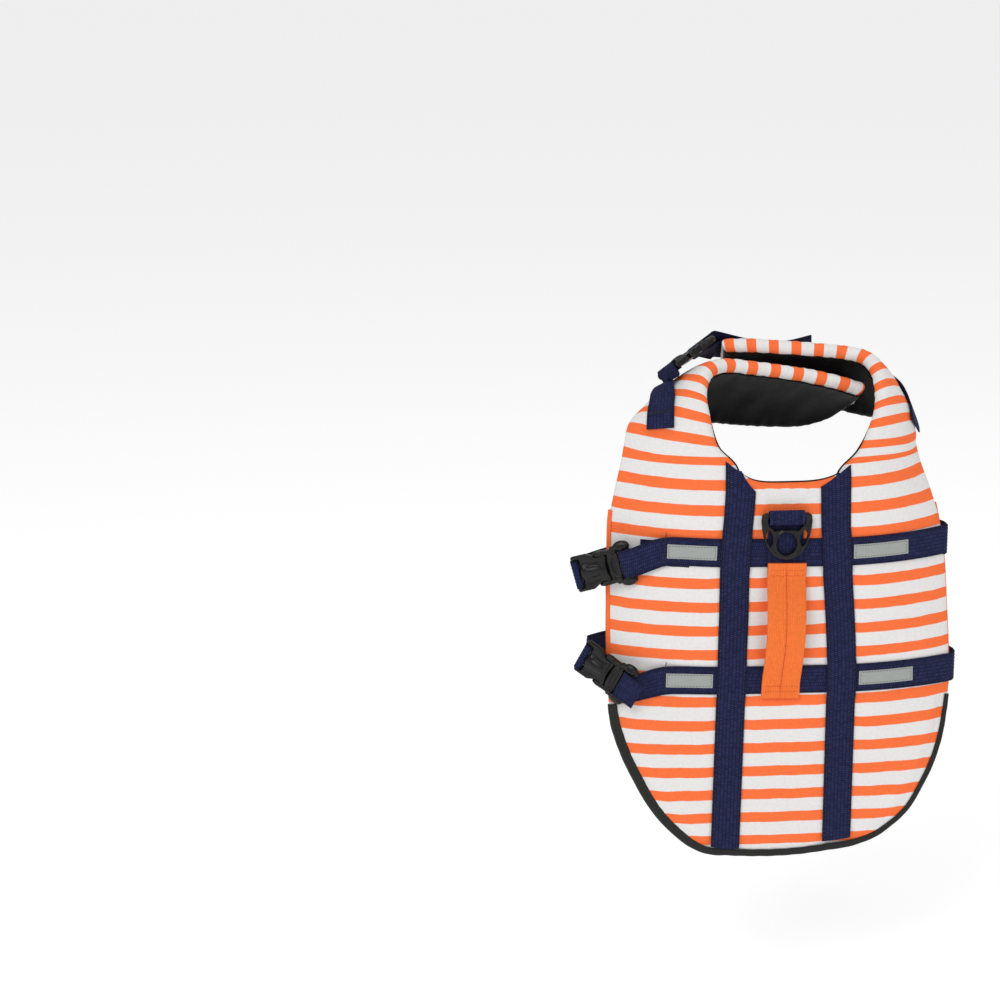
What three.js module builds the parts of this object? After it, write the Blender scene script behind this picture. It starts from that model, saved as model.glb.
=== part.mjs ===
// A dog's life jacket: a padded striped back panel with two neck wings that wrap
// round the throat, two buckled belly belts, a lifting handle and a leash ring.
// Millimetres. X runs to the wearer's side that is on the right seen from
// behind, Y runs from the outer face towards the wearer, Z runs to the neck.
// The origin is on the inner face of the middle panel, where it lies on the back.

import * as THREE from 'three';
import { mergeVertices } from 'three/addons/utils/BufferGeometryUtils.js';

// Cloth and foam
const FOAM = 12;
const HALF = FOAM / 2;
const HEM_HALF = 3;
const ROUND = 6;
const ROLLED_HALF = 2.2;
const BOXED_HALF = 4.8;
const SEAM_GAP = 0.3;
const LINING = 1;

// Webbing
const WEBBING = 25;
const PLY = 1.5;
const TAPE_WIDTH = 12.5;
const TAPE_PLY = 0.6;

// The two belts' middles, at the left and at the right side of the back
const UPPER_BELT = { left: 57.5, right: 54.5 };
const LOWER_BELT = { left: -57.5, right: -59 };

// Lifting handle and the strap that holds the leash ring
const HANDLE = { width: 33.5, ply: 2.6, top: 48, bottom: -74, rise: 13, sewn: 13 };
const STRAP = { width: 30.4, middle: -2.5, foot: 37 };
const RING_PIVOT = { y: -18.5, z: 91 };
const RING = { ply: 4.5, bevel: 0.8, holeWidth: 8.7, holeHeight: 10.2, holeDrop: 25 };
const LOOP_HOLE = 2.9;

// Side-release buckle: its thickness, chamfer, and where webbing passes its bars
const BUCKLE = { ply: 7, bevel: 0.8, femaleBar: 3, slot: 3.6, maleSlot: 38.4, maleBar: 3.5 };

const ORANGE = 0xfd7640;
const NAVY = 0x282a4b;
const BLACK = 0x1f1f20;
const PLASTIC = 0x37312e;
const SILVER = 0xa1a6a3;

// Each side piece is drawn by rows across the cloth, from the hem up over the
// shoulder and round the throat. The columns are the row's inner end (seam, then
// neck edge), its outer end, how far it swells outward and how far it sags.
const INNER = 0;
const OUTER = 3;
const SWELL = 6;
const SAG = 7;
const LEFT_ROWS = [
  [-49, -6, -219.5, -88, -5, -205, 0, 4.5],
  [-49, -6, -206, -111, -4, -180, 0.5, 3],
  [-48.5, -6, -182, -130, -2, -147, 1, 1],
  [-48, -6, -146, -144.5, 3, -113, 2.5, 0],
  [-47, -6, -84, -149.5, 11, -84, 4.5, 0],
  [-46.5, -6, -45, -149.5, 19, -45, 6.5, 0],
  [-45.5, -6, 0, -149, 25, 0, 7.8, 0],
  [-45, -6, 45, -148.5, 28, 45, 8.5, 0],
  [-43, -5.8, 90, -146, 32, 88, 9.5, 0],
  [-43, -2, 127, -138, 37, 124, 10, 0],
  [-59.5, 5, 147, -134, 40, 142, 9, 0],
  [-65, 16, 172, -131, 44, 151, 8, 0],
  [-66, 28, 186, -125, 51, 155, 7, 0],
  [-62, 42, 197, -115, 65, 157, 7, 0],
  [-54, 54, 204, -101, 83, 157, 7, 0],
  [-40, 63, 206, -82, 99, 153, 6, 0],
  [-20, 67, 203, -58, 110, 146, 5, 0],
  [5, 69, 199, -28, 116, 141, 5, 0],
  [32, 69, 194, 5, 119, 138, 5, 0],
  [54, 67, 189, 34, 117, 139, 4, 0],
  [70, 65, 184, 58, 104, 149, 3, 0],
  [78, 63, 181, 74, 84, 164, 2, 0],
];
const RIGHT_ROWS = [
  [49.5, -6, -217, 88, -6, -206, 0, 2],
  [50, -6, -202, 111, -5, -186, 0.5, 1],
  [50.5, -6, -180, 128, -3, -158, 1, 0],
  [50, -6, -146, 141.5, 3, -125, 2.5, 0],
  [49, -6, -84, 149, 14, -84, 5, 0],
  [48, -6, -45, 148, 20, -45, 6.5, 0],
  [46, -6, 0, 145, 23, 0, 7.2, 0],
  [43.5, -6, 45, 141, 25, 45, 7.8, 0],
  [41, -5.8, 90, 133, 31, 88, 9.2, 0],
  [43.5, -2, 121.5, 122, 40, 118, 10.5, 0],
  [62, 6, 140, 117, 50, 134, 11, 0],
  [73, 13, 160, 117, 57, 142, 11, 0],
  [80, 24, 175, 116, 66, 146, 10, 0],
  [83, 38, 190, 114, 77, 148, 9, 0],
  [83, 54, 202, 110, 90, 148, 8, 0],
  [77, 69, 210, 101, 105, 146, 7, 0],
  [62, 78, 213, 86, 116, 147, 6, 0],
  [40, 82, 215, 62, 122, 152, 5, 0],
  [12, 84, 217, 30, 125, 158, 5, 0],
  [-14, 84, 219, -3, 126, 164, 5, 0],
  [-35, 83, 220, -28, 125, 168, 4, 0],
  [-45, 82, 220, -39, 122, 171, 3, 0],
];
// The row where the side piece leaves the middle panel and becomes a neck wing
const NECK_ROW = 9;
const HEM_ROW = 4;
// The neckline is level between the two webbings, and the cloth eases down to it above its start
const NECKLINE = { level: 115.5, start: 90 };

const LEFT = { rows: LEFT_ROWS, facing: 1 };
const RIGHT = { rows: RIGHT_ROWS, facing: -1 };

// A smooth row between the rows of a table
function rowAt(rows, s) {
  const last = rows.length - 1;
  const i = Math.max(0, Math.min(Math.floor(s), last - 1));
  const f = s - i;
  const pick = (k) => rows[Math.max(0, Math.min(last, k))];
  const [a, b, c, d] = [pick(i - 1), pick(i), pick(i + 1), pick(i + 2)];
  return b.map((value, k) => {
    const slope = (c[k] - a[k]) / 2;
    const next = (d[k] - b[k]) / 2;
    const rest = 3 * (c[k] - value) - 2 * slope - next;
    const cube = 2 * (value - c[k]) + slope + next;
    return value + slope * f + rest * f * f + cube * f * f * f;
  });
}

function rowEnd(rows, s, end) {
  const row = rowAt(rows, s);
  return new THREE.Vector3(row[end], row[end + 1], row[end + 2]);
}

// The middle of the padding of a side piece, at row s and share t across
function sidePoint(side, s, t) {
  const row = rowAt(side.rows, s);
  const inner = rowEnd(side.rows, s, INNER);
  const outer = rowEnd(side.rows, s, OUTER);
  const chord = outer.clone().sub(inner);
  const ahead = sideMiddle(side, s + 0.05).sub(sideMiddle(side, s - 0.05));
  const out = ahead.cross(chord).normalize().multiplyScalar(side.facing);
  const arch = 4 * t * (1 - t);
  const point = inner.addScaledVector(chord, t).addScaledVector(out, row[SWELL] * arch);
  point.z -= row[SAG] * arch;
  return point;
}

function sideMiddle(side, s) {
  const clamped = Math.max(0, Math.min(side.rows.length - 1, s));
  return rowEnd(side.rows, clamped, INNER).add(rowEnd(side.rows, clamped, OUTER));
}

// The middle panel spans the two seams, with a hollow neckline and a round hem
function middlePoint(s, t) {
  const left = rowEnd(LEFT_ROWS, s, INNER);
  const right = rowEnd(RIGHT_ROWS, s, INNER);
  const hemSag = 3.4 * Math.max(0, 1 - s) * 4 * t * (1 - t);
  const point = left.lerp(right, t);
  const neck = THREE.MathUtils.lerp(LEFT_ROWS[NECK_ROW][2], RIGHT_ROWS[NECK_ROW][2], t);
  const dip = (neck - NECKLINE.level) * (1 - (2 * t - 1) ** 4);
  const share = Math.max(0, point.z - NECKLINE.start) / (neck - NECKLINE.start);
  point.z -= hemSag + dip * share;
  return point;
}

function normalAt(surface, s, t, facing, last) {
  const step = 0.02;
  const [s0, s1] = [Math.max(0, s - step), Math.min(last, s + step)];
  const [t0, t1] = [Math.max(0, t - step), Math.min(1, t + step)];
  const along = surface(s1, t).sub(surface(s0, t));
  const across = surface(s, t1).sub(surface(s, t0));
  return along.cross(across).normalize().multiplyScalar(facing);
}

// Indexed triangles of a slab between two grids of points of the same size
function slab(front, back) {
  const rows = front.length;
  const columns = front[0].length;
  const points = [...front.flat(), ...back.flat()];
  const faces = [];
  const quad = (a, b, c, d) => faces.push(a, b, c, a, c, d);
  const at = (i, j) => i * columns + j;
  const under = (i, j) => rows * columns + at(i, j);
  for (let i = 0; i < rows - 1; i += 1) {
    for (let j = 0; j < columns - 1; j += 1) {
      quad(at(i, j), at(i, j + 1), at(i + 1, j + 1), at(i + 1, j));
      quad(under(i, j), under(i + 1, j), under(i + 1, j + 1), under(i, j + 1));
    }
  }
  const lastRow = rows - 1;
  const lastColumn = columns - 1;
  for (let i = 0; i < lastRow; i += 1) {
    quad(at(i, 0), at(i + 1, 0), under(i + 1, 0), under(i, 0));
    quad(at(i + 1, lastColumn), at(i, lastColumn), under(i, lastColumn), under(i + 1, lastColumn));
  }
  for (let j = 0; j < lastColumn; j += 1) {
    quad(at(0, j + 1), at(0, j), under(0, j), under(0, j + 1));
    quad(at(lastRow, j), at(lastRow, j + 1), under(lastRow, j + 1), under(lastRow, j));
  }
  return solid(points, faces);
}

// A closed outline moved along frames, each with a place and two directions
function sweep(outline, frames) {
  const count = outline.length;
  const points = [];
  const faces = [];
  for (const { place, across, out } of frames) {
    for (const [a, b] of outline) {
      points.push(place.clone().addScaledVector(across, a).addScaledVector(out, b));
    }
  }
  for (let i = 0; i < frames.length - 1; i += 1) {
    for (let j = 0; j < count; j += 1) {
      const k = (j + 1) % count;
      const [a, b] = [i * count + j, i * count + k];
      faces.push(a, b, b + count, a, b + count, a + count);
    }
  }
  const flat = outline.map(([a, b]) => new THREE.Vector2(a, b));
  const cap = THREE.ShapeUtils.triangulateShape(flat, []);
  const tail = (frames.length - 1) * count;
  const turns = THREE.ShapeUtils.isClockWise(flat) ? -1 : 1;
  for (const [a, b, c] of cap) {
    const order = turns > 0 ? [a, c, b] : [a, b, c];
    faces.push(...order, ...order.map((k) => k + tail).reverse());
  }
  return solid(points, faces);
}

// A geometry whose faces point out, from points and triangles
function solid(points, faces) {
  let volume = 0;
  for (let i = 0; i < faces.length; i += 3) {
    const [a, b, c] = [points[faces[i]], points[faces[i + 1]], points[faces[i + 2]]];
    volume += a.dot(b.clone().cross(c));
  }
  const outward = volume > 0 ? faces : faces.slice().reverse();
  const geometry = new THREE.BufferGeometry();
  const numbers = points.flatMap((point) => [point.x, point.y, point.z]);
  geometry.setAttribute('position', new THREE.Float32BufferAttribute(numbers, 3));
  geometry.setIndex(outward);
  geometry.computeVertexNormals();
  return geometry;
}

const finishes = {};
function finish(colour, roughness) {
  const key = `${colour}-${roughness}`;
  finishes[key] ??= new THREE.MeshStandardMaterial({ color: colour, roughness, metalness: 0 });
  return finishes[key];
}

const group = new THREE.Group();

function addPiece(name, geometry, material) {
  const mesh = new THREE.Mesh(geometry, material);
  mesh.name = name;
  group.add(mesh);
  return mesh;
}

// Padding
// How thick half the padding is, at a distance from a rounded or a bound edge
function roundedHalf(distance, edge, full) {
  if (distance >= ROUND) return full;
  const share = 1 - distance / ROUND;
  return edge + (full - edge) * Math.sqrt(1 - share * share);
}

function hemHalf(distance) {
  const share = THREE.MathUtils.clamp((distance - 9) / 12, 0, 1);
  return HEM_HALF + (HALF - HEM_HALF) * share * (2 - share);
}

const EDGE_STEPS = [0, 1, 3, ROUND];
const HEM_STEPS = [0, 9, 14, 21];

// Shares across a row: close together by its ends, and even between them
function sharesAcross(length, edgeSteps, inner, even) {
  const near = inner.map((step) => step / length);
  const far = edgeSteps.map((step) => 1 - step / length).reverse();
  const [from, to] = [near[near.length - 1], far[0]];
  const between = [];
  for (let k = 1; k < even; k += 1) between.push(from + ((to - from) * k) / even);
  return [...near, ...between, ...far];
}

// Row numbers of a side piece, close together at the hem and at the wing's tip
const SIDE_STEPS = [0, 0.3, 0.52, 0.8, 1.15, 1.55, 2, 2.5, 3, 3.5, 4, 4.5, 5, 6, 7, 8];
for (let s = 8.6; s < 20; s += 0.72) SIDE_STEPS.push(s);
SIDE_STEPS.push(20.2, 20.65, 20.86, 20.96, 21);

// The bound hem of a side piece: down its outer end, then along its lowest row
function hemLine(side) {
  const line = [];
  for (let s = HEM_ROW; s > 0; s -= 0.1) line.push(rowEnd(side.rows, s, OUTER));
  for (let t = 1; t >= 0; t -= 0.1) line.push(sidePoint(side, 0, t));
  return line;
}
LEFT.hem = hemLine(LEFT);
RIGHT.hem = hemLine(RIGHT);

function distanceToHem(side, point) {
  const nearest = new THREE.Vector3();
  let least = Infinity;
  for (let k = 1; k < side.hem.length; k += 1) {
    new THREE.Line3(side.hem[k - 1], side.hem[k]).closestPointToPoint(point, true, nearest);
    least = Math.min(least, nearest.distanceTo(point));
  }
  return least;
}

// Half the padding of a side piece at row s and share t of a row's length
function sideHalf(side, s, t, length) {
  const last = side.rows.length - 1;
  const bound = THREE.MathUtils.clamp((HEM_ROW + 0.5 - s) * 2, 0, 1);
  const squared = THREE.MathUtils.clamp((8.2 - s) * 2, 0, 1);
  const edgeHalf = THREE.MathUtils.lerp(ROLLED_HALF, BOXED_HALF, squared);
  const plain = roundedHalf((1 - t) * length, edgeHalf, HALF);
  const hem = hemHalf(distanceToHem(side, sidePoint(side, s, t)));
  let half = Math.min(HALF, plain + (hem - plain) * bound);
  if (s > NECK_ROW - 0.6) half = Math.min(half, roundedHalf(t * length, ROLLED_HALF, HALF));
  const endGap = sideMiddle(side, s).distanceTo(sideMiddle(side, last)) / 2;
  return Math.min(half, roundedHalf(endGap, ROLLED_HALF, HALF));
}

// How much longer the hem's width is along a row than square to the hem
function hemSlant(side, s) {
  const outer = rowEnd(side.rows, s, OUTER);
  const along = rowEnd(side.rows, s + 0.05, OUTER).sub(outer).normalize();
  const row = rowEnd(side.rows, s, INNER).sub(outer).normalize();
  const square = Math.sqrt(1 - along.dot(row) ** 2);
  return Math.min(1.7, 1 / square);
}

// Points of a side piece's outer face, its inner face and its lining's two faces
function sideFaces(side) {
  const last = side.rows.length - 1;
  const surface = (s, t) => sidePoint(side, s, t);
  const faces = { outer: [], inner: [], liningNear: [], liningFar: [] };
  const middle = [];
  for (const s of SIDE_STEPS) {
    const chord = rowEnd(side.rows, s, INNER).distanceTo(rowEnd(side.rows, s, OUTER));
    const shrink = Math.min(1, chord / 45);
    const inner = EDGE_STEPS.map((step) => step * shrink);
    const slant = s > HEM_ROW ? 1 : hemSlant(side, s);
    const edge = s > HEM_ROW ? inner : HEM_STEPS.map((step) => step * slant * shrink);
    const shares = sharesAcross(chord, edge, inner, 5);
    const rows = Object.values(faces);
    rows.forEach((face) => face.push([]));
    middle.push([]);
    shares.forEach((t) => {
      const point = surface(s, t);
      if (s < NECK_ROW) point.x += side.facing * -SEAM_GAP * 0.5 * (1 - t);
      const out = normalAt(surface, s, t, side.facing, last);
      const half = sideHalf(side, s, t, chord);
      middle[middle.length - 1].push({ place: point, out });
      const depths = [half, -half, -half - SEAM_GAP, -half - SEAM_GAP - LINING];
      depths.forEach((depth, k) => {
        rows[k][rows[k].length - 1].push(point.clone().addScaledVector(out, depth));
      });
    });
  }
  return { ...faces, middle };
}

// The lining stops short of the binding and of the piece's rolled edges
const inside = (grid) => grid.slice(4, -1).map((row) => row.slice(1, -2));

function addSide(name, side) {
  const faces = sideFaces(side);
  addPiece(`panel_${name}`, slab(faces.outer, faces.inner), finish(ORANGE, 0.85));
  const lining = slab(inside(faces.liningNear), inside(faces.liningFar));
  addPiece(`lining_${name}`, lining, finish(BLACK, 0.6));
  return faces.middle;
}
const leftMiddle = addSide('left', LEFT);
const rightMiddle = addSide('right', RIGHT);

// The middle panel
const MIDDLE_STEPS = [0, 0.52, 0.8, 1.2, 2, 3, 4, 5, 6, 7, 8, 8.6, 8.8, 8.92, 8.97, 9];
// Extra room at the seams where the side pieces curve out to the neck
const NECK_EASE = 0.4;
const MIDDLE_SHARES = [0, 0.1, 0.3, 0.5, 0.7, 0.9, 1];
function addMiddle() {
  const outer = [];
  const inner = [];
  const near = [];
  const far = [];
  for (const s of MIDDLE_STEPS) {
    const grids = [outer, inner, near, far];
    grids.forEach((grid) => grid.push([]));
    for (const t of MIDDLE_SHARES) {
      const point = middlePoint(s, t);
      const ease = NECK_EASE * Math.min(1, Math.max(0, s - 7));
      point.x += (SEAM_GAP * 0.5 + ease) * (1 - 2 * t);
      const out = normalAt(middlePoint, s, t, -1, NECK_ROW);
      const toHem = point.distanceTo(middlePoint(0, t));
      const toNeck = point.distanceTo(middlePoint(NECK_ROW, t));
      const half = Math.min(hemHalf(toHem), roundedHalf(toNeck, ROLLED_HALF, HALF));
      const depths = [half, -half, -half - SEAM_GAP, -half - SEAM_GAP - LINING];
      depths.forEach((depth, k) => {
        grids[k][grids[k].length - 1].push(point.clone().addScaledVector(out, depth));
      });
    }
  }
  addPiece('panel_middle', slab(outer, inner), finish(ORANGE, 0.85));
  addPiece('lining_middle', slab(near.slice(2, -1), far.slice(2, -1)), finish(BLACK, 0.6));
}
addMiddle();

// Binding folded over the hem, from the left edge round to the right edge
const BINDING = { ply: 1.2, arm: 7, slack: 0.85, chamfer: 0.9 };
function addBinding() {
  const bound = (grid) => grid.slice(0, SIDE_STEPS.indexOf(HEM_ROW) + 1);
  const edge = (grid) => bound(grid).map((row) => row[row.length - 1]);
  const foot = MIDDLE_SHARES.map((t) => {
    return { place: middlePoint(0, t), out: normalAt(middlePoint, 0, t, -1, NECK_ROW) };
  });
  const path = [
    ...edge(leftMiddle).reverse(),
    ...leftMiddle[0].slice(1, -1).reverse(),
    ...foot.slice(1, -1),
    ...rightMiddle[0].slice(1, -1),
    ...edge(rightMiddle),
  ];
  const frames = path.map(({ place, out }, i) => {
    const ahead = path[Math.min(i + 1, path.length - 1)].place;
    const tangent = ahead.clone().sub(path[Math.max(i - 1, 0)].place).normalize();
    const across = tangent.clone().cross(out).normalize();
    return { place, across, out: across.clone().cross(tangent) };
  });
  const inner = HEM_HALF + BINDING.slack;
  const outer = inner + BINDING.ply;
  const reach = BINDING.slack + BINDING.ply;
  const outline = [
    [-BINDING.arm, inner],
    [BINDING.slack, inner],
    [BINDING.slack, -inner],
    [-BINDING.arm, -inner],
    [-BINDING.arm, -outer],
    [reach - BINDING.chamfer, -outer],
    [reach, -inner],
    [reach, inner],
    [reach - BINDING.chamfer, outer],
    [-BINDING.arm, outer],
  ];
  addPiece('hem_binding', sweep(outline, frames), finish(BLACK, 0.8));
}
addBinding();

// Boxing strips along the two side edges, above the binding
function addEdge(name, side) {
  const strip = { ply: 1, width: 9, from: 4.55, to: 7.85 };
  const frames = [];
  for (let s = strip.from; s <= strip.to + 0.01; s += 0.55) {
    const place = rowEnd(side.rows, s, OUTER);
    const near = sidePoint(side, s, 0.96);
    const across = normalAt((a, b) => sidePoint(side, a, b), s, 1, side.facing, side.rows.length);
    const out = place.clone().sub(near).normalize();
    frames.push({ place: place.addScaledVector(out, SEAM_GAP + strip.ply / 2), across, out });
  }
  addPiece(`edge_${name}`, sweep(flatOutline(strip.width, strip.ply), frames), finish(ORANGE, 0.8));
}

function flatOutline(width, ply) {
  const [a, b] = [width / 2, ply / 2];
  return [[-a, -b], [a, -b], [a, b], [-a, b]];
}
addEdge('left', LEFT);
addEdge('right', RIGHT);

const at = (x, y, z) => new THREE.Vector3(x, y, z);
const UP = at(0, 0, 1);

// The padding's outer face at a place given by X and Z, and what lies up it
function halve(low, high, tooHigh) {
  for (let k = 0; k < 30; k += 1) {
    const middle = (low + high) / 2;
    if (tooHigh(middle)) high = middle;
    else low = middle;
  }
  return (low + high) / 2;
}

function backAt(x, z, above) {
  const side = x < 0 ? LEFT : RIGHT;
  const s = halve(0, 11, (k) => rowEnd(side.rows, k, INNER).z > z);
  const seam = rowEnd(side.rows, s, INNER).x;
  const onMiddle = Math.abs(x) <= Math.abs(seam);
  const surface = onMiddle ? middlePoint : (a, b) => sidePoint(side, a, b);
  const facing = onMiddle ? -1 : side.facing;
  const reach = Math.abs(x);
  const share = halve(0, 1, (t) => Math.abs(sidePoint(side, s, t).x) > reach);
  const opposite = rowEnd(x < 0 ? RIGHT_ROWS : LEFT_ROWS, s, INNER).x;
  const middleShare = (x - seam) / (opposite - seam);
  const t = onMiddle ? (x < 0 ? middleShare : 1 - middleShare) : share;
  const out = normalAt(surface, s, t, facing, side.rows.length - 1);
  const across = UP.clone().addScaledVector(out, -UP.dot(out)).normalize();
  return { place: surface(s, t).addScaledVector(out, HALF + above), across };
}

function beltHeight(belt, x) {
  return THREE.MathUtils.mapLinear(x, -100, 140, belt.left, belt.right);
}

// Webbing down the seams, lifted where it passes over the belts
const LIFT = { full: WEBBING / 2 + 1.6, none: WEBBING / 2 + 9 };
function liftOverBelts(x, z) {
  const gaps = [UPPER_BELT, LOWER_BELT].map((belt) => Math.abs(z - beltHeight(belt, x)));
  const share = THREE.MathUtils.mapLinear(Math.min(...gaps), LIFT.full, LIFT.none, 1, 0);
  return (PLY + SEAM_GAP) * THREE.MathUtils.clamp(share, 0, 1);
}

// A webbing's foot, its middle at a height, and the slanting end at the neckline
const WEBBING_LEFT = {
  foot: -213,
  middle: (z) => -45.4 + 0.018 * Math.min(0, z) + 4.1 * THREE.MathUtils.smoothstep(z, 40, 118),
  ends: [133, 123.5, 114.5],
};
const WEBBING_RIGHT = {
  foot: -208,
  middle: (z) => THREE.MathUtils.lerp(49.5, 40.5, THREE.MathUtils.smoothstep(z, -60, 100)),
  ends: [114, 119, 127],
};

function webbingHeights(webbing) {
  const heights = [webbing.foot, -180, -146, -110, 0, 93, 107];
  for (const belt of [UPPER_BELT, LOWER_BELT]) {
    const middle = beltHeight(belt, webbing.middle(belt.left));
    for (const gap of [LIFT.full, LIFT.none]) heights.push(middle - gap, middle + gap);
  }
  return heights.sort((a, b) => a - b);
}

function addWebbing(name, webbing) {
  const outer = [];
  const inner = [];
  const columns = [-WEBBING / 2, 0, WEBBING / 2];
  const rows = webbingHeights(webbing).map((z) => [z, z, z]);
  rows.push(webbing.ends);
  for (const heights of rows) {
    const spots = columns.map((column, k) => {
      const z = heights[k];
      const x = webbing.middle(z) + column;
      const above = SEAM_GAP + 0.15 + liftOverBelts(x, z);
      return { low: backAt(x, z, above).place, high: backAt(x, z, above + PLY).place };
    });
    outer.push(spots.map((spot) => spot.high));
    inner.push(spots.map((spot) => spot.low));
  }
  addPiece(`webbing_${name}`, slab(outer, inner), finish(NAVY, 0.75));
}
addWebbing('left', WEBBING_LEFT);
addWebbing('right', WEBBING_RIGHT);

// Flat webbing along stations, each with a place and a direction across
function ribbon(stations, width, ply) {
  const frames = stations.map(({ place, across }, i) => {
    const next = stations[Math.min(i + 1, stations.length - 1)].place;
    const tangent = next.clone().sub(stations[Math.max(i - 1, 0)].place).normalize();
    const flat = across.clone().addScaledVector(tangent, -across.dot(tangent)).normalize();
    return { place, across: flat, out: tangent.clone().cross(flat) };
  });
  return sweep(flatOutline(width, ply), frames);
}

// Side-release buckle halves, drawn along X from the female half's webbing end
function outlineOf(half) {
  const mirrored = half.slice().reverse().map(([x, y]) => [x, -y]);
  return [...half, ...mirrored].map(([x, y]) => new THREE.Vector2(x, y));
}

function slotHole(from, width) {
  const half = WEBBING / 2 + 0.6;
  const corners = [[from, -half], [from, half], [from + width, half], [from + width, -half]];
  return new THREE.Path(corners.map(([x, y]) => new THREE.Vector2(x, y)));
}

function plate(outline, holes, ply, bevel) {
  const clockwise = THREE.ShapeUtils.isClockWise(outline);
  const shape = new THREE.Shape(clockwise ? outline.slice().reverse() : outline);
  shape.holes.push(...holes);
  const geometry = new THREE.ExtrudeGeometry(shape, {
    depth: ply - 2 * bevel,
    bevelEnabled: true,
    bevelThickness: bevel,
    bevelSize: bevel,
    bevelOffset: -bevel,
    bevelSegments: 1,
    curveSegments: 12,
  });
  geometry.translate(0, 0, bevel - ply / 2);
  geometry.deleteAttribute('normal');
  geometry.deleteAttribute('uv');
  const merged = mergeVertices(geometry, 1e-4);
  merged.computeVertexNormals();
  return merged;
}

const FEMALE_HALF = [[0, 14], [1.5, 15.4], [14, 15.6], [18, 13.2], [22, 11], [30.8, 11]];
const MALE_HALF = [
  [31.6, 7],
  [31.6, 11.5],
  [21.5, 11.5],
  [19, 14],
  [23, 15.6],
  [34, 15],
  [40, 15.6],
  [43.5, 18],
  [49, 18],
  [51.5, 16.6],
  [50.5, 14.8],
  [45.4, 14.2],
];

// Where each buckle's female webbing end is, and its direction to the male end
const BUCKLES = {
  upper: { end: at(-180, 13, 33.5), axis: at(49, -10, 14), across: UP },
  lower: { end: at(-173, 16, -40), axis: at(41, -25, -26), across: UP },
  neck: { end: at(-95.5, 58, 201.5), axis: at(40, 36, 17), across: at(-0.41, 0.7, -0.54) },
};

function addBuckle(name, { end, axis, across }) {
  const along = axis.clone().normalize();
  const wide = across.clone().addScaledVector(along, -across.dot(along)).normalize();
  const frame = new THREE.Matrix4().makeBasis(along, wide, along.clone().cross(wide));
  const holder = new THREE.Group();
  holder.applyMatrix4(frame);
  holder.position.copy(end);
  const femaleSlot = slotHole(BUCKLE.femaleBar, BUCKLE.slot);
  const maleSlot = slotHole(BUCKLE.maleSlot, BUCKLE.slot);
  const halves = [
    ['female', outlineOf(FEMALE_HALF), femaleSlot],
    ['male', outlineOf(MALE_HALF), maleSlot],
  ];
  for (const [half, outline, hole] of halves) {
    const geometry = plate(outline, [hole], BUCKLE.ply, BUCKLE.bevel);
    const mesh = new THREE.Mesh(geometry, finish(PLASTIC, 0.4));
    mesh.name = `buckle_${name}_${half}`;
    holder.add(mesh);
  }
  group.add(holder);
  const place = (x, z) => end.clone().addScaledVector(along, x)
    .addScaledVector(along.clone().cross(wide), z);
  return (x, z) => ({ place: place(x, z), across: wide });
}
const onUpper = addBuckle('upper', BUCKLES.upper);
const onLower = addBuckle('lower', BUCKLES.lower);
const onNeck = addBuckle('neck', BUCKLES.neck);

// Webbing's middle line round a buckle's bar, clear of it by the seam gap
const CLEAR = SEAM_GAP + PLY / 2;
const FACE = BUCKLE.ply / 2 + CLEAR;
const CORNER = 1.25;

function roundFemaleBar(on) {
  const inSlot = BUCKLE.femaleBar + CLEAR;
  return [
    on(-CLEAR, -FACE),
    on(-CLEAR, FACE - CORNER),
    on(CORNER - CLEAR, FACE),
    on(inSlot - CORNER, FACE),
    on(inSlot, FACE - CORNER),
    on(inSlot, -FACE),
  ];
}

// From the face where the webbing arrives, through the slot, to the other face
function roundMaleBar(on, side) {
  const bar = BUCKLE.maleSlot + BUCKLE.slot;
  const inSlot = bar - CLEAR;
  return [
    on(bar + BUCKLE.maleBar, side * FACE),
    on(inSlot + CORNER, side * FACE),
    on(inSlot, side * (FACE - CORNER)),
    on(inSlot, -side * (FACE - CORNER)),
    on(inSlot + CORNER, -side * FACE),
    on(bar + BUCKLE.maleBar, -side * FACE),
  ];
}

// A belt lies on the back, and lifts off it a little before its buckle
function onBelt(belt, x, above) {
  const leaving = 0.12 * Math.max(0, -86 - x);
  return backAt(x, beltHeight(belt, x), CLEAR + leaving + above);
}

// A belt's stretch over the back, from past the right edge to the male buckle
function addFrontBelt(name, belt, offEdge, from, on, side, tail) {
  const stations = offEdge.map(([x, y]) => ({ place: at(x, y, beltHeight(belt, x)), across: UP }));
  for (let x = from; x >= -104; x -= Math.abs(x) < 40 ? 20 : 8) {
    stations.push(onBelt(belt, x, 0));
  }
  stations.push(on(54, side * FACE), ...roundMaleBar(on, side), on(tail, -side * FACE));
  addPiece(`belt_${name}_front`, ribbon(stations, WEBBING, PLY), finish(NAVY, 0.75));
}
const UPPER_EDGE = [[147.8, 32], [147.7, 25.5], [145.3, 19.8]];
const LOWER_EDGE = [[157, 28], [156.8, 20], [154, 13]];
addFrontBelt('upper', UPPER_BELT, UPPER_EDGE, 137, onUpper, 1, 50);
addFrontBelt('lower', LOWER_BELT, LOWER_EDGE, 143, onLower, -1, 62);

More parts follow.
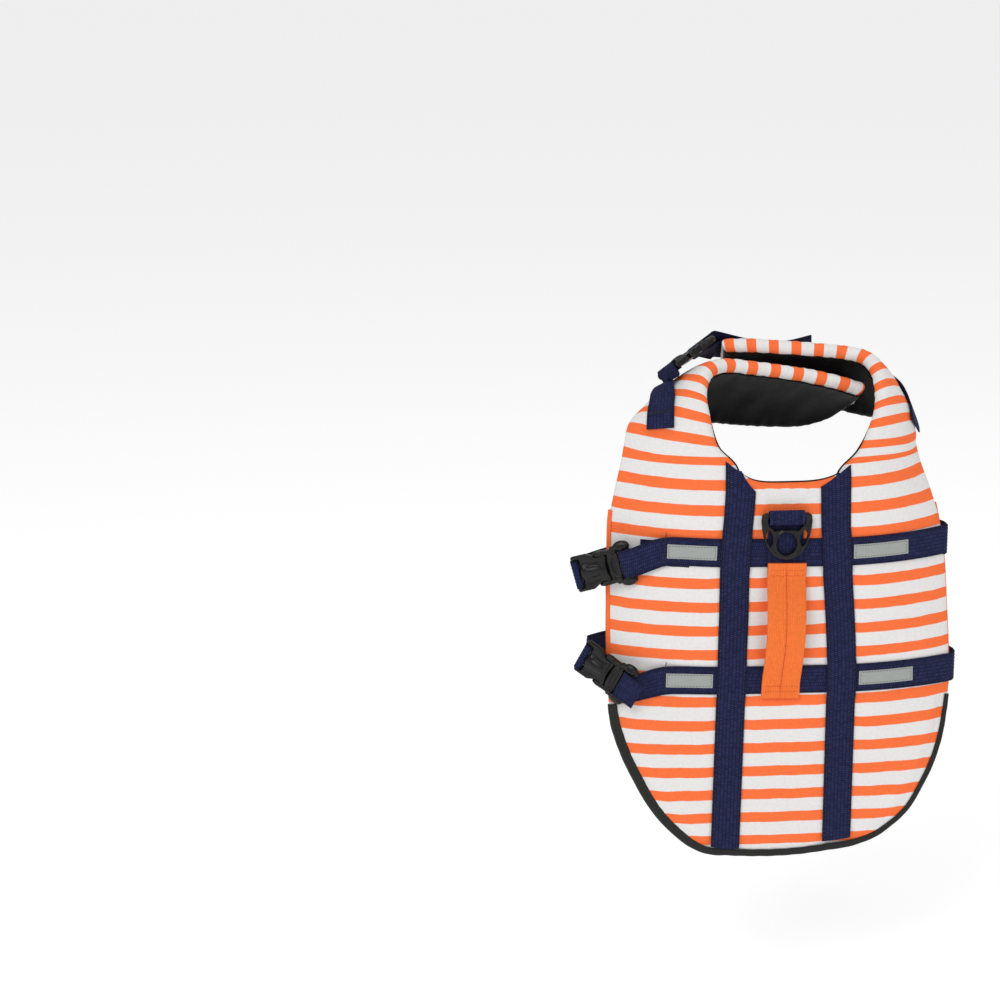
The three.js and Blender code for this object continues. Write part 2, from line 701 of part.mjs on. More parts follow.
// A belt's stretch round the belly, from the right edge to the female buckle
const REAR_CURVE = [
  [-146, 49],
  [-108, 66],
  [-60, 75],
  [0, 78],
  [60, 75],
  [108, 66],
  [138, 52],
];
function addRearBelt(name, belt, lead, on) {
  const buckleEnd = roundFemaleBar(on);
  const near = buckleEnd[0].place;
  const height = (x) => THREE.MathUtils.mapLinear(x, near.x, 150, near.z, belt.right);
  const waypoints = [
    near.clone().add(at(3.5, 9, 0)),
    ...REAR_CURVE.map(([x, y]) => at(x, y, height(x))),
    ...lead.map(([x, y]) => at(x, y, height(x))),
  ];
  const curve = new THREE.CatmullRomCurve3(waypoints.reverse());
  const stations = curve.getSpacedPoints(26).map((place) => ({ place, across: UP }));
  stations.push(...buckleEnd);
  addPiece(`belt_${name}_rear`, ribbon(stations, WEBBING, PLY), finish(NAVY, 0.75));
}
addRearBelt('upper', UPPER_BELT, [[146.5, 40], [147.8, 32.6]], onUpper);
addRearBelt('lower', LOWER_BELT, [[154, 38], [157, 28.6]], onLower);

// Reflective tapes, sewn on the belts beside the two webbings
const TAPES = [
  ['upper_left', UPPER_BELT, -100, -60.5],
  ['upper_right', UPPER_BELT, 56.5, 104],
  ['lower_left', LOWER_BELT, -101, -62.5],
  ['lower_right', LOWER_BELT, 64.5, 112],
];
for (const [name, belt, from, to] of TAPES) {
  const stations = [];
  for (let k = 0; k <= 5; k += 1) {
    const x = THREE.MathUtils.lerp(to, from, k / 5);
    stations.push(onBelt(belt, x, PLY / 2 + SEAM_GAP + TAPE_PLY / 2));
  }
  addPiece(`tape_${name}`, ribbon(stations, TAPE_WIDTH, TAPE_PLY), finish(SILVER, 0.5));
}

// The leash ring's strap lies over the upper belt and ends in a loop on the ring
const STRAP_BACK = -HALF * 2 - PLY - 2 * SEAM_GAP;
function addLeashStrap() {
  const shape = new THREE.Shape();
  const round = LOOP_HOLE + PLY;
  const front = STRAP_BACK - PLY;
  const { y, z } = RING_PIVOT;
  shape.moveTo(STRAP_BACK, STRAP.foot);
  shape.lineTo(STRAP_BACK, z);
  shape.absarc(y, z, round, 0, Math.PI * 1.5, false);
  shape.lineTo(front, z - round);
  shape.lineTo(front, STRAP.foot);
  shape.closePath();
  const hole = new THREE.Path();
  hole.absarc(y, z, LOOP_HOLE, 0, Math.PI * 2, true);
  shape.holes.push(hole);
  const depth = STRAP.width;
  const geometry = new THREE.ExtrudeGeometry(shape, { depth, bevelEnabled: false, curveSegments: 20 });
  const toFrame = new THREE.Matrix4().makeBasis(at(0, 1, 0), at(0, 0, 1), at(1, 0, 0));
  geometry.applyMatrix4(toFrame);
  geometry.translate(STRAP.middle - STRAP.width / 2, 0, 0);
  addPiece('leash_strap', geometry, finish(NAVY, 0.75));
}
addLeashStrap();

// The moulded ring hangs in the loop by its top bar: half widths and heights
const RING_HALF = [
  [0, 2],
  [18.5, 2],
  [21.4, 0],
  [22, -5],
  [21.3, -12],
  [20, -18.5],
  [18, -25],
  [15.3, -30.4],
  [11.5, -34.9],
  [6.2, -38.2],
  [0, -39.3],
];
const RING_SLOT_HALF = [[0, -2], [15.7, -2], [15.7, -8.5], [10.5, -13.6], [5, -12.4], [0, -12]];
const RING_WINDOW = [[15.6, -12.2], [18.2, -17], [16.8, -23], [13.6, -27.8], [11.9, -24], [12, -18]];

function addRing() {
  const bothSides = (half) => {
    const other = half.slice(1, -1).reverse().map(([x, z]) => [-x, z]);
    return [...half, ...other].map(([x, z]) => new THREE.Vector2(x, z));
  };
  const hole = new THREE.Path();
  hole.absellipse(0, -RING.holeDrop, RING.holeWidth, RING.holeHeight, 0, Math.PI * 2, true, 0);
  const round = new THREE.Path(hole.getPoints(7).slice(0, -1));
  const window = (side) => new THREE.Path(RING_WINDOW.map(([x, z]) => new THREE.Vector2(side * x, z)));
  const holes = [new THREE.Path(bothSides(RING_SLOT_HALF)), round, window(1), window(-1)];
  const geometry = plate(bothSides(RING_HALF), holes, RING.ply, RING.bevel);
  const mesh = addPiece('leash_ring', geometry, finish(PLASTIC, 0.4));
  mesh.rotation.x = Math.PI / 2;
  mesh.position.set(STRAP.middle, RING_PIVOT.y, RING_PIVOT.z);
}
addRing();

// Lifting handle, sewn at both ends and bowed out for the fingers
function addHandle() {
  const topY = STRAP_BACK - PLY - SEAM_GAP - HANDLE.ply / 2;
  const bottomY = STRAP_BACK - HANDLE.ply / 2;
  const stations = [];
  const steps = 22;
  for (let k = 0; k <= steps; k += 1) {
    const z = THREE.MathUtils.lerp(HANDLE.top, HANDLE.bottom, k / steps);
    const free = (HANDLE.top - HANDLE.bottom) / 2 - HANDLE.sewn;
    const middle = (HANDLE.top + HANDLE.bottom) / 2;
    const share = Math.min(1, Math.abs(z - middle) / free);
    const bow = HANDLE.rise * (1 - share * share) ** 1.4;
    const x = THREE.MathUtils.lerp(-1, -4, k / steps);
    const y = THREE.MathUtils.lerp(topY, bottomY, THREE.MathUtils.smoothstep(k / steps, 0.1, 0.9));
    stations.push({ place: at(x, y - bow, z), across: at(1, 0, 0) });
  }
  addPiece('handle', ribbon(stations, HANDLE.width, HANDLE.ply), finish(0xfb7a39, 0.85));
}
addHandle();

// Webbing round the throat: sewn on each shoulder and joined by the third buckle
function onWing(side, s, t, above) {
  const surface = (a, b) => sidePoint(side, a, b);
  const out = normalAt(surface, s, t, side.facing, side.rows.length - 1);
  const across = surface(s, t + 0.02).sub(surface(s, t - 0.02)).normalize();
  return { place: sidePoint(side, s, t).addScaledVector(out, HALF + above), across };
}

// Flat webbing bridges the swell of a wing, so its middle stands off a little
const STAND_OFF = 1.3;
function addNeckStraps() {
  const left = [];
  for (let s = 10.6; s <= 12.05; s += 0.24) {
    left.push(onWing(LEFT, s, 0.55 - 0.03 * (s - 10), CLEAR + STAND_OFF + 0.4 * (s - 10)));
  }
  left.push({ place: at(-103.5, 49.5, 191.5), across: at(-0.6, 0.55, -0.5) });
  left.push(onNeck(-CLEAR - 0.6, -FACE - 3.5), ...roundFemaleBar(onNeck));
  addPiece('neck_strap_left', ribbon(left, WEBBING, PLY), finish(NAVY, 0.75));

  const right = [];
  const wingSteps = 22;
  for (let k = 0; k <= wingSteps; k += 1) {
    const s = THREE.MathUtils.lerp(11.2, 20.8, k / wingSteps);
    const t = THREE.MathUtils.lerp(0.72, 0.34, k / wingSteps);
    right.push(onWing(RIGHT, s, t, CLEAR + STAND_OFF + Math.max(0, s - 20)));
  }
  right.push(onNeck(51, -FACE - 0.4), ...roundMaleBar(onNeck, -1), onNeck(55, FACE));
  const tailAcross = at(0.1, 0.63, -0.77);
  for (const [x, y, z] of [[-22, 110, 209.5], [0, 113.5, 205.5], [20, 117, 206], [41, 118, 210.5]]) {
    right.push({ place: at(x, y, z), across: tailAcross });
  }
  addPiece('neck_strap_right', ribbon(right, WEBBING, PLY), finish(NAVY, 0.75));
}
addNeckStraps();

export default group;
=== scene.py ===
"""A dog's life jacket: striped padded panels, webbing, buckles, a lifting handle and a leash ring.

Sizes in the tables are millimetres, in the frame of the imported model: X to the right, Y towards the wearer,
Z to the neck.
"""

import math

import bmesh
import bpy
import numpy as np
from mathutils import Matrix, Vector


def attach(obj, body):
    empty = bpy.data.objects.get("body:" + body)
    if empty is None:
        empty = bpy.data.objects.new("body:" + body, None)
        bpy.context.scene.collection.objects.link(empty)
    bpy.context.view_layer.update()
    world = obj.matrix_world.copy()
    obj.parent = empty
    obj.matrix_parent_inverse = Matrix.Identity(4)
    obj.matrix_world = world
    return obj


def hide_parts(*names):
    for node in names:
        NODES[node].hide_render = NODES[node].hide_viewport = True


bl_info = {
    "name": "Dog life jacket",
    "version": (1, 0, 0),
    "blender": (4, 5, 0),
    "location": "3D view > Sidebar > Life jacket",
    "description": "Builds a padded dog life jacket with webbing, buckles, handle and leash ring",
    "category": "Object",
}

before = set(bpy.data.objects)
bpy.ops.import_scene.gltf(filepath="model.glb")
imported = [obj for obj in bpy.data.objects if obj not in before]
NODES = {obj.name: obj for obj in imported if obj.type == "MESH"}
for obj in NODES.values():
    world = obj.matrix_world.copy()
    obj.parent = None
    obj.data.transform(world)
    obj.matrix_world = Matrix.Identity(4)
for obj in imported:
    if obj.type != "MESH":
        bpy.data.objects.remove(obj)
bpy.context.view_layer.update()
MM = 0.001

# The cut of the two side pieces, row by row from the hem over the shoulder and round the throat.
# Columns: inner end x, y, z; outer end x, y, z; how far the row swells outward; how far it sags.
LEFT_ROWS = np.array([
    [-49, -6, -219.5, -88, -5, -205, 0, 4.5],
    [-49, -6, -206, -111, -4, -180, 0.5, 3],
    [-48.5, -6, -182, -130, -2, -147, 1, 1],
    [-48, -6, -146, -144.5, 3, -113, 2.5, 0],
    [-47, -6, -84, -149.5, 11, -84, 4.5, 0],
    [-46.5, -6, -45, -149.5, 19, -45, 6.5, 0],
    [-45.5, -6, 0, -149, 25, 0, 7.8, 0],
    [-45, -6, 45, -148.5, 28, 45, 8.5, 0],
    [-43, -5.8, 90, -146, 32, 88, 9.5, 0],
    [-43, -2, 127, -138, 37, 124, 10, 0],
    [-59.5, 5, 147, -134, 40, 142, 9, 0],
    [-65, 16, 172, -131, 44, 151, 8, 0],
    [-66, 28, 186, -125, 51, 155, 7, 0],
    [-62, 42, 197, -115, 65, 157, 7, 0],
    [-54, 54, 204, -101, 83, 157, 7, 0],
    [-40, 63, 206, -82, 99, 153, 6, 0],
    [-20, 67, 203, -58, 110, 146, 5, 0],
    [5, 69, 199, -28, 116, 141, 5, 0],
    [32, 69, 194, 5, 119, 138, 5, 0],
    [54, 67, 189, 34, 117, 139, 4, 0],
    [70, 65, 184, 58, 104, 149, 3, 0],
    [78, 63, 181, 74, 84, 164, 2, 0],
], float)
RIGHT_ROWS = np.array([
    [49.5, -6, -217, 88, -6, -206, 0, 2],
    [50, -6, -202, 111, -5, -186, 0.5, 1],
    [50.5, -6, -180, 128, -3, -158, 1, 0],
    [50, -6, -146, 141.5, 3, -125, 2.5, 0],
    [49, -6, -84, 149, 14, -84, 5, 0],
    [48, -6, -45, 148, 20, -45, 6.5, 0],
    [46, -6, 0, 145, 23, 0, 7.2, 0],
    [43.5, -6, 45, 141, 25, 45, 7.8, 0],
    [41, -5.8, 90, 133, 31, 88, 9.2, 0],
    [43.5, -2, 121.5, 122, 40, 118, 10.5, 0],
    [62, 6, 140, 117, 50, 134, 11, 0],
    [73, 13, 160, 117, 57, 142, 11, 0],
    [80, 24, 175, 116, 66, 146, 10, 0],
    [83, 38, 190, 114, 77, 148, 9, 0],
    [83, 54, 202, 110, 90, 148, 8, 0],
    [77, 69, 210, 101, 105, 146, 7, 0],
    [62, 78, 213, 86, 116, 147, 6, 0],
    [40, 82, 215, 62, 122, 152, 5, 0],
    [12, 84, 217, 30, 125, 158, 5, 0],
    [-14, 84, 219, -3, 126, 164, 5, 0],
    [-35, 83, 220, -28, 125, 168, 4, 0],
    [-45, 82, 220, -39, 122, 171, 3, 0],
], float)
LEFT = {"name": "left", "rows": LEFT_ROWS, "facing": 1}
RIGHT = {"name": "right", "rows": RIGHT_ROWS, "facing": -1}
SIDES = (LEFT, RIGHT)
LAST_ROW = 21
NECK_ROW = 9
HEM_ROW = 4
NECKLINE = 115.5
NECK_START = 90.0

# Padding and cloth: half thickness inside and at the hem, radius of the rolled edges, half thickness at the
# boxed edge, gap at a seam, and how far the face swells
HALF = 6.0
HEM_HALF = 3.0
ROUND = 6.0
BOXED_HALF = 4.8
SEAM_GAP = 0.3
PUFF = 1.9
# The middle panel's hem drops by a quarter of the first at its middle, and its sides draw in by the second at
# the neck
HEM_SAG = 13.6
NECK_EASE = 0.4
# The print on the wings: how it is scaled along the neck, and how far it is moved
WING_PRINT = {"left": 1.03, "right": 1.07}
WING_SHIFT = {"left": 8.6, "right": 4.3}
# The rows from which the neck edge is rolled and the lining starts, and how far the lining stays from a seam
ROLLED_FROM = NECK_ROW - 0.6
LINED_FROM = 0.62
SEAM_MARGIN = 0.2
# The lining's distance from the padding, and its thickness
LINING_GAP, LINING_PLY = 0.2, 0.7
CORD_RADIUS = 1.05
BINDING = {"ply": 1.2, "arm": 7.0, "slack": 0.85}
# The left strip's outline: its front edge is rolled on to the face by 4 mm
ROLLED_BOXING = np.array([
    [6.4, -4.8], [6.3, -3.8], [6.05, -2.8], [5.8, -1.8], [5.2, -0.9], [4.5, -0.35], [0, -0.35], [-4.7, -0.35],
    [-4.7, 0.45], [0, 0.55], [4.6, 0.5], [5.5, 0.1], [6.15, -0.8], [6.45, -1.8], [6.65, -2.8], [6.8, -3.8],
    [6.9, -4.8],
])
# The rows between which the side edges are boxed
BOXED_ROWS = (4.3, 7.95)

# Webbing and what lies on it
WEBBING = 25.0
PLY = 1.5
# The ribs along the webbing are this far apart
RIB = 3.1
CLEAR = SEAM_GAP + PLY / 2
UPPER_BELT = (57.5, 54.5)
LOWER_BELT = (-57.5, -59.0)
# Where the rear belts run behind the jacket, as x and y
REAR_CURVE = [(-146, 49), (-108, 66), (-60, 75), (0, 78), (60, 75), (108, 66), (138, 52)]
# The neck straps stand off the wings by this much
STAND_OFF = 1.3
TAPE_WIDTH, TAPE_PLY = 12.5, 0.6
# Tapes on the belts, each between two places in x
TAPES = (
    ("upper_left", UPPER_BELT, -100.0, -60.5),
    ("upper_right", UPPER_BELT, 56.5, 104.0),
    ("lower_left", LOWER_BELT, -101.0, -62.5),
    ("lower_right", LOWER_BELT, 64.5, 112.0),
)

# Side-release buckles: webbing end, direction to the male end, direction across
BUCKLES = {
    "upper": ((-180, 13, 33.5), (49, -10, 14), (0, 0, 1)),
    "lower": ((-173, 16, -40), (41, -25, -26), (0, 0, 1)),
    "neck": ((-95.5, 58, 201.5), (40, 36, 17), (-0.41, 0.7, -0.54)),
}
FEMALE_BAR, SLOT, MALE_SLOT, MALE_BAR, BUCKLE_PLY = 3.0, 3.6, 38.4, 3.5, 7.0
FACE = BUCKLE_PLY / 2 + CLEAR
CORNER = 1.25

# Leash strap, ring and handle
STRAP_MIDDLE, STRAP_WIDTH, STRAP_FOOT = -2.5, 30.4, 37.0
STRAP_BACK = -HALF * 2 - PLY - 2 * SEAM_GAP
RING_Y, RING_Z = -18.5, 91.0
LOOP_HOLE = 2.9
HANDLE_WIDTH, HANDLE_PLY, HANDLE_TOP, HANDLE_FOOT = 33.5, 2.6, 48.0, -74.0
HANDLE_RISE, HANDLE_SEWN = 13.0, 13.0

# Stage, in metres, watts and degrees
FLOOR_HALF, FLOOR_HEIGHT = 16.0, -0.36
LIGHTS = (
    ("key", (-1.3, -2.0, 1.9), 1.4, 27.0),
    ("fill", (1.8, -1.8, 0.9), 1.8, 6.5),
    ("top", (0.1, 0.2, 2.4), 1.6, 12.0),
)
CAMERA_PLACE = (-0.46226, -2.46680, 0.76869)
CAMERA_YAW, CAMERA_DROP = 5, 15
CAMERA_LENS, CAMERA_SENSOR = 108.6, 36.0


def linear(code):
    """An sRGB hex colour as linear red, green and blue."""
    parts = [int(code[k:k + 2], 16) / 255 for k in (0, 2, 4)]
    return tuple(c / 12.92 if c <= 0.04045 else ((c + 0.055) / 1.055) ** 2.4 for c in parts)


def colour(name, code, description):
    """A colour that the user can change, with its default given as sRGB hex."""
    return bpy.props.FloatVectorProperty(
        name=name, description=description, subtype="COLOR", size=3, min=0, max=1, default=linear(code)
    )


def length(name, millimetres, description):
    """A length that the user can change, in metres."""
    return bpy.props.FloatProperty(
        name=name, description=description, unit="LENGTH", min=0, precision=4, default=millimetres * MM
    )


class JacketSizes(bpy.types.PropertyGroup):
    """Sizes of the print and of the sewing."""

    stripe_pitch: length("Stripe pitch", 21.4, "From one orange stripe to the next")
    stripe_width: length("Stripe width", 9.3, "Width of an orange stripe")
    stripe_start: length("Stripe height", 115.2, "Height of an orange stripe's middle over the origin")
    stitch: length("Stitch length", 2.6, "Length of one stitch")
    pucker: length("Pucker depth", 0.45, "Depth of the small puckers beside a seam")


class JacketColours(bpy.types.PropertyGroup):
    """Colours of cloth, webbing and plastic."""

    orange: colour("Orange print", "FD7640", "Printed stripes")
    white: colour("White cloth", "E9E7E5", "Cloth between the stripes")
    webbing: colour("Webbing", "262A50", "Belts and lengthwise webbing")
    handle: colour("Handle", "FB7A39", "Lifting handle")
    lining: colour("Lining", "060606", "Satin lining")
    binding: colour("Binding", "161615", "Folded binding round the hem")
    tape: colour("Reflective tape", "9BA09C", "Reflective tape on the belts")
    plastic: colour("Plastic", "0A0908", "Buckles and leash ring")


def chosen(name):
    """A size from the panel in the sidebar, in millimetres."""
    return getattr(bpy.context.scene.life_jacket_sizes, name) * 1000


# Shape of the padding


def rows_at(rows, s):
    """Smooth rows between the rows of a table, for an array of row numbers."""
    i = np.clip(np.floor(s).astype(int), 0, len(rows) - 2)
    f = (s - i)[..., None]
    a, b, c, d = (rows[np.clip(i + k, 0, len(rows) - 1)] for k in (-1, 0, 1, 2))
    slope, after = (c - a) / 2, (d - b) / 2
    rest = 3 * (c - b) - 2 * slope - after
    cube = 2 * (b - c) + slope + after
    return b + slope * f + rest * f**2 + cube * f**3


def unit(v):
    """Directions of length one."""
    return v / np.maximum(np.linalg.norm(v, axis=-1, keepdims=True), 1e-9)


def run_along(line):
    """Distance along a line of points, at each of them."""
    return np.concatenate([[0], np.cumsum(np.linalg.norm(np.diff(line, axis=0), axis=1))])


def side_points(side, s, t):
    """The middle of the padding of a side piece, at rows s and shares t across."""
    s, t = np.broadcast_arrays(np.asarray(s, float), np.asarray(t, float))
    row = rows_at(side["rows"], s)
    inner, chord = row[..., :3], row[..., 3:6] - row[..., :3]

    def middle(k):
        near = rows_at(side["rows"], np.clip(k, 0, LAST_ROW))
        return near[..., :3] + near[..., 3:6]

    out = unit(np.cross(middle(s + 0.05) - middle(s - 0.05), chord)) * side["facing"]
    arch = 4 * t * (1 - t)
    points = inner + chord * t[..., None] + out * (row[..., 6] * arch)[..., None]
    points[..., 2] -= row[..., 7] * arch
    return points


def middle_points(s, t):
    """The middle of the padding of the middle panel, with its hollow neckline and round hem."""
    s, t = np.broadcast_arrays(np.asarray(s, float), np.asarray(t, float))
    left, right = rows_at(LEFT_ROWS, s)[..., :3], rows_at(RIGHT_ROWS, s)[..., :3]
    points = left + (right - left) * t[..., None]
    neck = LEFT_ROWS[NECK_ROW, 2] + (RIGHT_ROWS[NECK_ROW, 2] - LEFT_ROWS[NECK_ROW, 2]) * t
    share = np.maximum(0, points[..., 2] - NECK_START) / (neck - NECK_START)
    dip = (neck - NECKLINE) * (1 - (2 * t - 1) ** 4) * share
    points[..., 2] -= HEM_SAG * np.maximum(0, 1 - s) * t * (1 - t) + dip
    return points


def normals_of(surface, s, t, facing, last):
    """Directions square to a surface of rows and shares, on its outer side."""
    step = 0.02
    s, t = np.broadcast_arrays(np.asarray(s, float), np.asarray(t, float))
    along = surface(np.minimum(last, s + step), t) - surface(np.maximum(0, s - step), t)
    across = surface(s, np.minimum(1, t + step)) - surface(s, np.maximum(0, t - step))
    return unit(np.cross(along, across)) * facing


def side_surface(side):
    """The middle surface of one side piece, as a function of rows and shares."""
    return lambda s, t: side_points(side, s, t)


def bisect(low, high, too_high):
    """Arrays of values halfway between low and high, halved until they meet a test."""
    for _ in range(30):
        middle = (low + high) / 2
        above = too_high(middle)
        low, high = np.where(above, low, middle), np.where(above, middle, high)
    return (low + high) / 2


def back_at(x, z, above):
    """Places over the padding's outer face, given by X and Z, and what lies up the face there."""
    x, z, above = (np.array(v, float) for v in np.broadcast_arrays(x, z, above))
    places, ups = np.zeros(x.shape + (3,)), np.zeros(x.shape + (3,))
    for side, other, here in ((LEFT, RIGHT, x < 0), (RIGHT, LEFT, x >= 0)):
        if not here.any():
            continue
        px, pz, lift = x[here], z[here], above[here]
        zero = np.zeros(px.shape)
        s = bisect(zero, zero + 11, lambda k: rows_at(side["rows"], k)[..., 2] > pz)
        seam = rows_at(side["rows"], s)[..., 0]
        opposite = rows_at(other["rows"], s)[..., 0]
        t = bisect(zero, zero + 1, lambda k: np.abs(side_points(side, s, k)[..., 0]) > np.abs(px))
        share = (px - seam) / (opposite - seam)
        u = share if side is LEFT else 1 - share
        inside = np.abs(px) <= np.abs(seam)
        on_side, on_middle = side_points(side, s, t), middle_points(s, u)
        side_out = normals_of(side_surface(side), s, t, side["facing"], LAST_ROW)
        middle_out = normals_of(middle_points, s, u, -1, LAST_ROW)
        point = np.where(inside[:, None], on_middle, on_side)
        out = np.where(inside[:, None], middle_out, side_out)
        places[here] = point + out * (HALF + lift)[:, None]
        ups[here] = unit(np.array([0, 0, 1.0]) - out * out[:, 2:3])
    return places, ups


def ripple(u, v, seed, size, count=7):
    """Soft uneven relief from -1 to 1: a few waves of about one size, in all directions."""
    draws = np.random.default_rng(seed)
    total = np.zeros(np.broadcast(u, v).shape)
    for _ in range(count):
        turn, phase, scale = draws.uniform(0, 2 * np.pi), draws.uniform(0, 2 * np.pi), draws.uniform(0.7, 1.5)
        total += np.sin((u * np.cos(turn) + v * np.sin(turn)) * 2 * np.pi / (size * scale) + phase)
    return total / count**0.5 / 1.4


def ease(x, low, high):
    """Goes smoothly from 0 at low to 1 at high."""
    f = np.clip((np.asarray(x, float) - low) / (high - low), 0, 1)
    return f * f * (3 - 2 * f)


def belt_height(belt, x):
    """Height of a belt's middle, which slopes from its left end to its right."""
    return belt[0] + (belt[1] - belt[0]) * (x + 100) / 240


def belts_gap(x, z):
    """How far above or below the middle of the nearer belt a place is."""
    return np.minimum(np.abs(z - belt_height(UPPER_BELT, x)), np.abs(z - belt_height(LOWER_BELT, x)))


def webbing_left(z):
    """X of the middle of the left lengthwise webbing at height z."""
    return -45.4 + 0.018 * np.minimum(0, z) + 4.1 * ease(z, 40, 118)


def webbing_right(z):
    """X of the middle of the right lengthwise webbing at height z."""
    return 49.5 - 9 * ease(z, -60, 100)


def rising(gap, reach=7.0):
    """How much of its full swell the padding has at a distance from what holds it down."""
    return 1 - np.exp(-np.maximum(gap, 0) / reach)


def rounded(distance, edge):
    """Half thickness near a rolled edge, which is edge thick at its end."""
    share = 1 - np.clip(distance / ROUND, 0, 1)
    return edge + (HALF - edge) * np.sqrt(1 - share**2)


def hem_half(distance):
    """Half thickness near the hem, which is pressed flat inside the binding."""
    share = np.clip((distance - 9) / 12, 0, 1)
    return HEM_HALF + (HALF - HEM_HALF) * share * (2 - share)


def line_distance(points, line):
    """Distance from each point to a line of points."""
    flat, best = points.reshape(-1, 3), np.full(points.size // 3, 1e9)
    for a, b in zip(line[:-1], line[1:]):
        span = b - a
        f = np.clip(((flat - a) @ span) / max(span @ span, 1e-9), 0, 1)
        best = np.minimum(best, np.linalg.norm(flat - a - f[:, None] * span, axis=1))
    return best.reshape(points.shape[:-1])


def edge_line(side, end, low, high, step=0.1):
    """A side piece's inner or outer edge between two rows."""
    return rows_at(side["rows"], np.arange(low, high + step / 2, step))[:, end:end + 3]


for piece in SIDES:
    foot = side_points(piece, np.zeros(11), np.linspace(1, 0, 11))
    piece["hem"] = np.concatenate([edge_line(piece, 3, 0, HEM_ROW)[::-1], foot])


def even_rows(side, step, low=0.0, high=float(LAST_ROW)):
    """Row numbers that lie evenly along a side piece, closer together at its tip."""
    fine = np.linspace(low, high, 900)
    line = side_points(side, fine, np.full(900, 0.5))
    run = run_along(line)
    tip = run[-1] - ROUND * (1 - np.cos(np.radians(np.arange(75, -1, -15))))
    start = ROUND * (1 - np.cos(np.radians(np.arange(0, 76, 15))))
    even = np.linspace(ROUND, run[-1] - ROUND, int((run[-1] - 2 * ROUND) / step))
    return np.interp(np.concatenate([start, even, tip]), run, fine)


def shares_across(lengths, columns, margins=(0.0, 0.0)):
    """Shares across each row: even, and close together where the edges are rounded."""
    near = ROUND * (1 - np.cos(np.radians(np.arange(0, 91, 15))))
    rows = []
    for k, full in enumerate(lengths):
        low, high = (m[k] if np.ndim(m) else m for m in margins)
        squeeze = min(1, full / 45)
        inner, outer = low + near * squeeze, full - high - near[::-1] * squeeze
        even = np.linspace(inner[-1], outer[0], columns)[1:-1]
        rows.append(np.concatenate([inner, even, outer]) / full)
    return np.clip(np.array(rows), 0, 1)


def side_field(side, s, t):
    """What the padding of a side piece is like at rows s and shares t: place, normal, half and print."""
    surface = side_surface(side)
    points = surface(s, t)
    out = normals_of(surface, s, t, side["facing"], LAST_ROW)
    ends = rows_at(side["rows"], s)
    full = np.linalg.norm(ends[..., 3:6] - ends[..., :3], axis=-1)
    points[..., 0] -= np.where(s < NECK_ROW, side["facing"] * SEAM_GAP * 0.5 * (1 - t), 0)
    bound = np.clip((HEM_ROW + 0.5 - s) * 2, 0, 1)
    boxed = BOXED_HALF * np.clip((8.2 - s) * 2, 0, 1)
    plain = rounded((1 - t) * full, boxed)
    to_hem = line_distance(points, side["hem"])
    half = np.minimum(HALF, plain + (hem_half(to_hem) - plain) * bound)
    half = np.where(s > ROLLED_FROM, np.minimum(half, rounded(t * full, 0)), half)
    fine = np.linspace(0, LAST_ROW, 900)
    line = surface(fine, np.full(900, 0.5))
    run = run_along(line)
    to_tip = run[-1] - np.interp(s, fine, run)
    half = np.minimum(half, rounded(to_tip, 0))
    return {
        "points": points, "out": out, "half": half, "full": full, "t": t, "s": s,
        "to_hem": to_hem, "to_tip": to_tip, "print": print_height(side, s, t, points),
    }


def print_height(side, s, t, points):
    """Height on the printed cloth: it follows Z on the back, and runs along the wing round the neck."""
    fine = np.linspace(NECK_ROW, LAST_ROW, 500)
    heights = []
    for end in (0, 3):
        line = rows_at(side["rows"], fine)[:, end:end + 3]
        run = run_along(line)
        heights.append((line[0, 2], run))
    (inner_z, inner_run), (outer_z, outer_run) = heights
    meet = 400
    scale = WING_PRINT[side["name"]]
    outer_run = outer_run * ((inner_z + inner_run[meet] * scale - outer_z) / outer_run[meet])
    inner_run = inner_run * scale
    wing = (inner_z + np.interp(s, fine, inner_run)) * (1 - t) + (outer_z + np.interp(s, fine, outer_run)) * t
    wing = wing + WING_SHIFT[side["name"]] * ease(s, 10, 13)
    return np.where(s <= NECK_ROW, points[..., 2], wing)


def straps_gap(side, field):
    """Distance on a side piece's outer face to the nearest webbing that lies on it."""
    x, z, s, t = field["points"][..., 0], field["points"][..., 2], field["s"], field["t"]
    middle = webbing_left(z) if side is LEFT else webbing_right(z)
    gaps = [np.abs(x - middle), belts_gap(x, z)]
    on_back = np.minimum.reduce(gaps) - WEBBING / 2
    on_back = np.where(s > 10.5, 60, on_back)
    if side is LEFT:
        strap, on = 0.55 - 0.03 * (s - 10), (s > 10.4) & (s < 12.6)
    else:
        strap, on = 0.72 - 0.04 * (s - 11.2), s > 11
    wing = np.where(on, np.abs(t - strap) * field["full"] - WEBBING / 2, 60)
    return on_back, wing


def edge_puckers(side, field, pucker):
    """Small gathers where the cloth is rolled over the neck edge."""
    run, in_from = field["print"], field["t"] * field["full"]
    gathers = np.abs(np.sin(run / 3.1 + 1.3 * np.sin(run / 13.7 + side["facing"]))) ** 0.8 - 0.6
    reach = ease(field["s"], 9.6, 10.6) * ease(field["half"], 0.4, 2)
    return 2.7 * pucker * gathers * np.exp(-in_from / 8) * reach


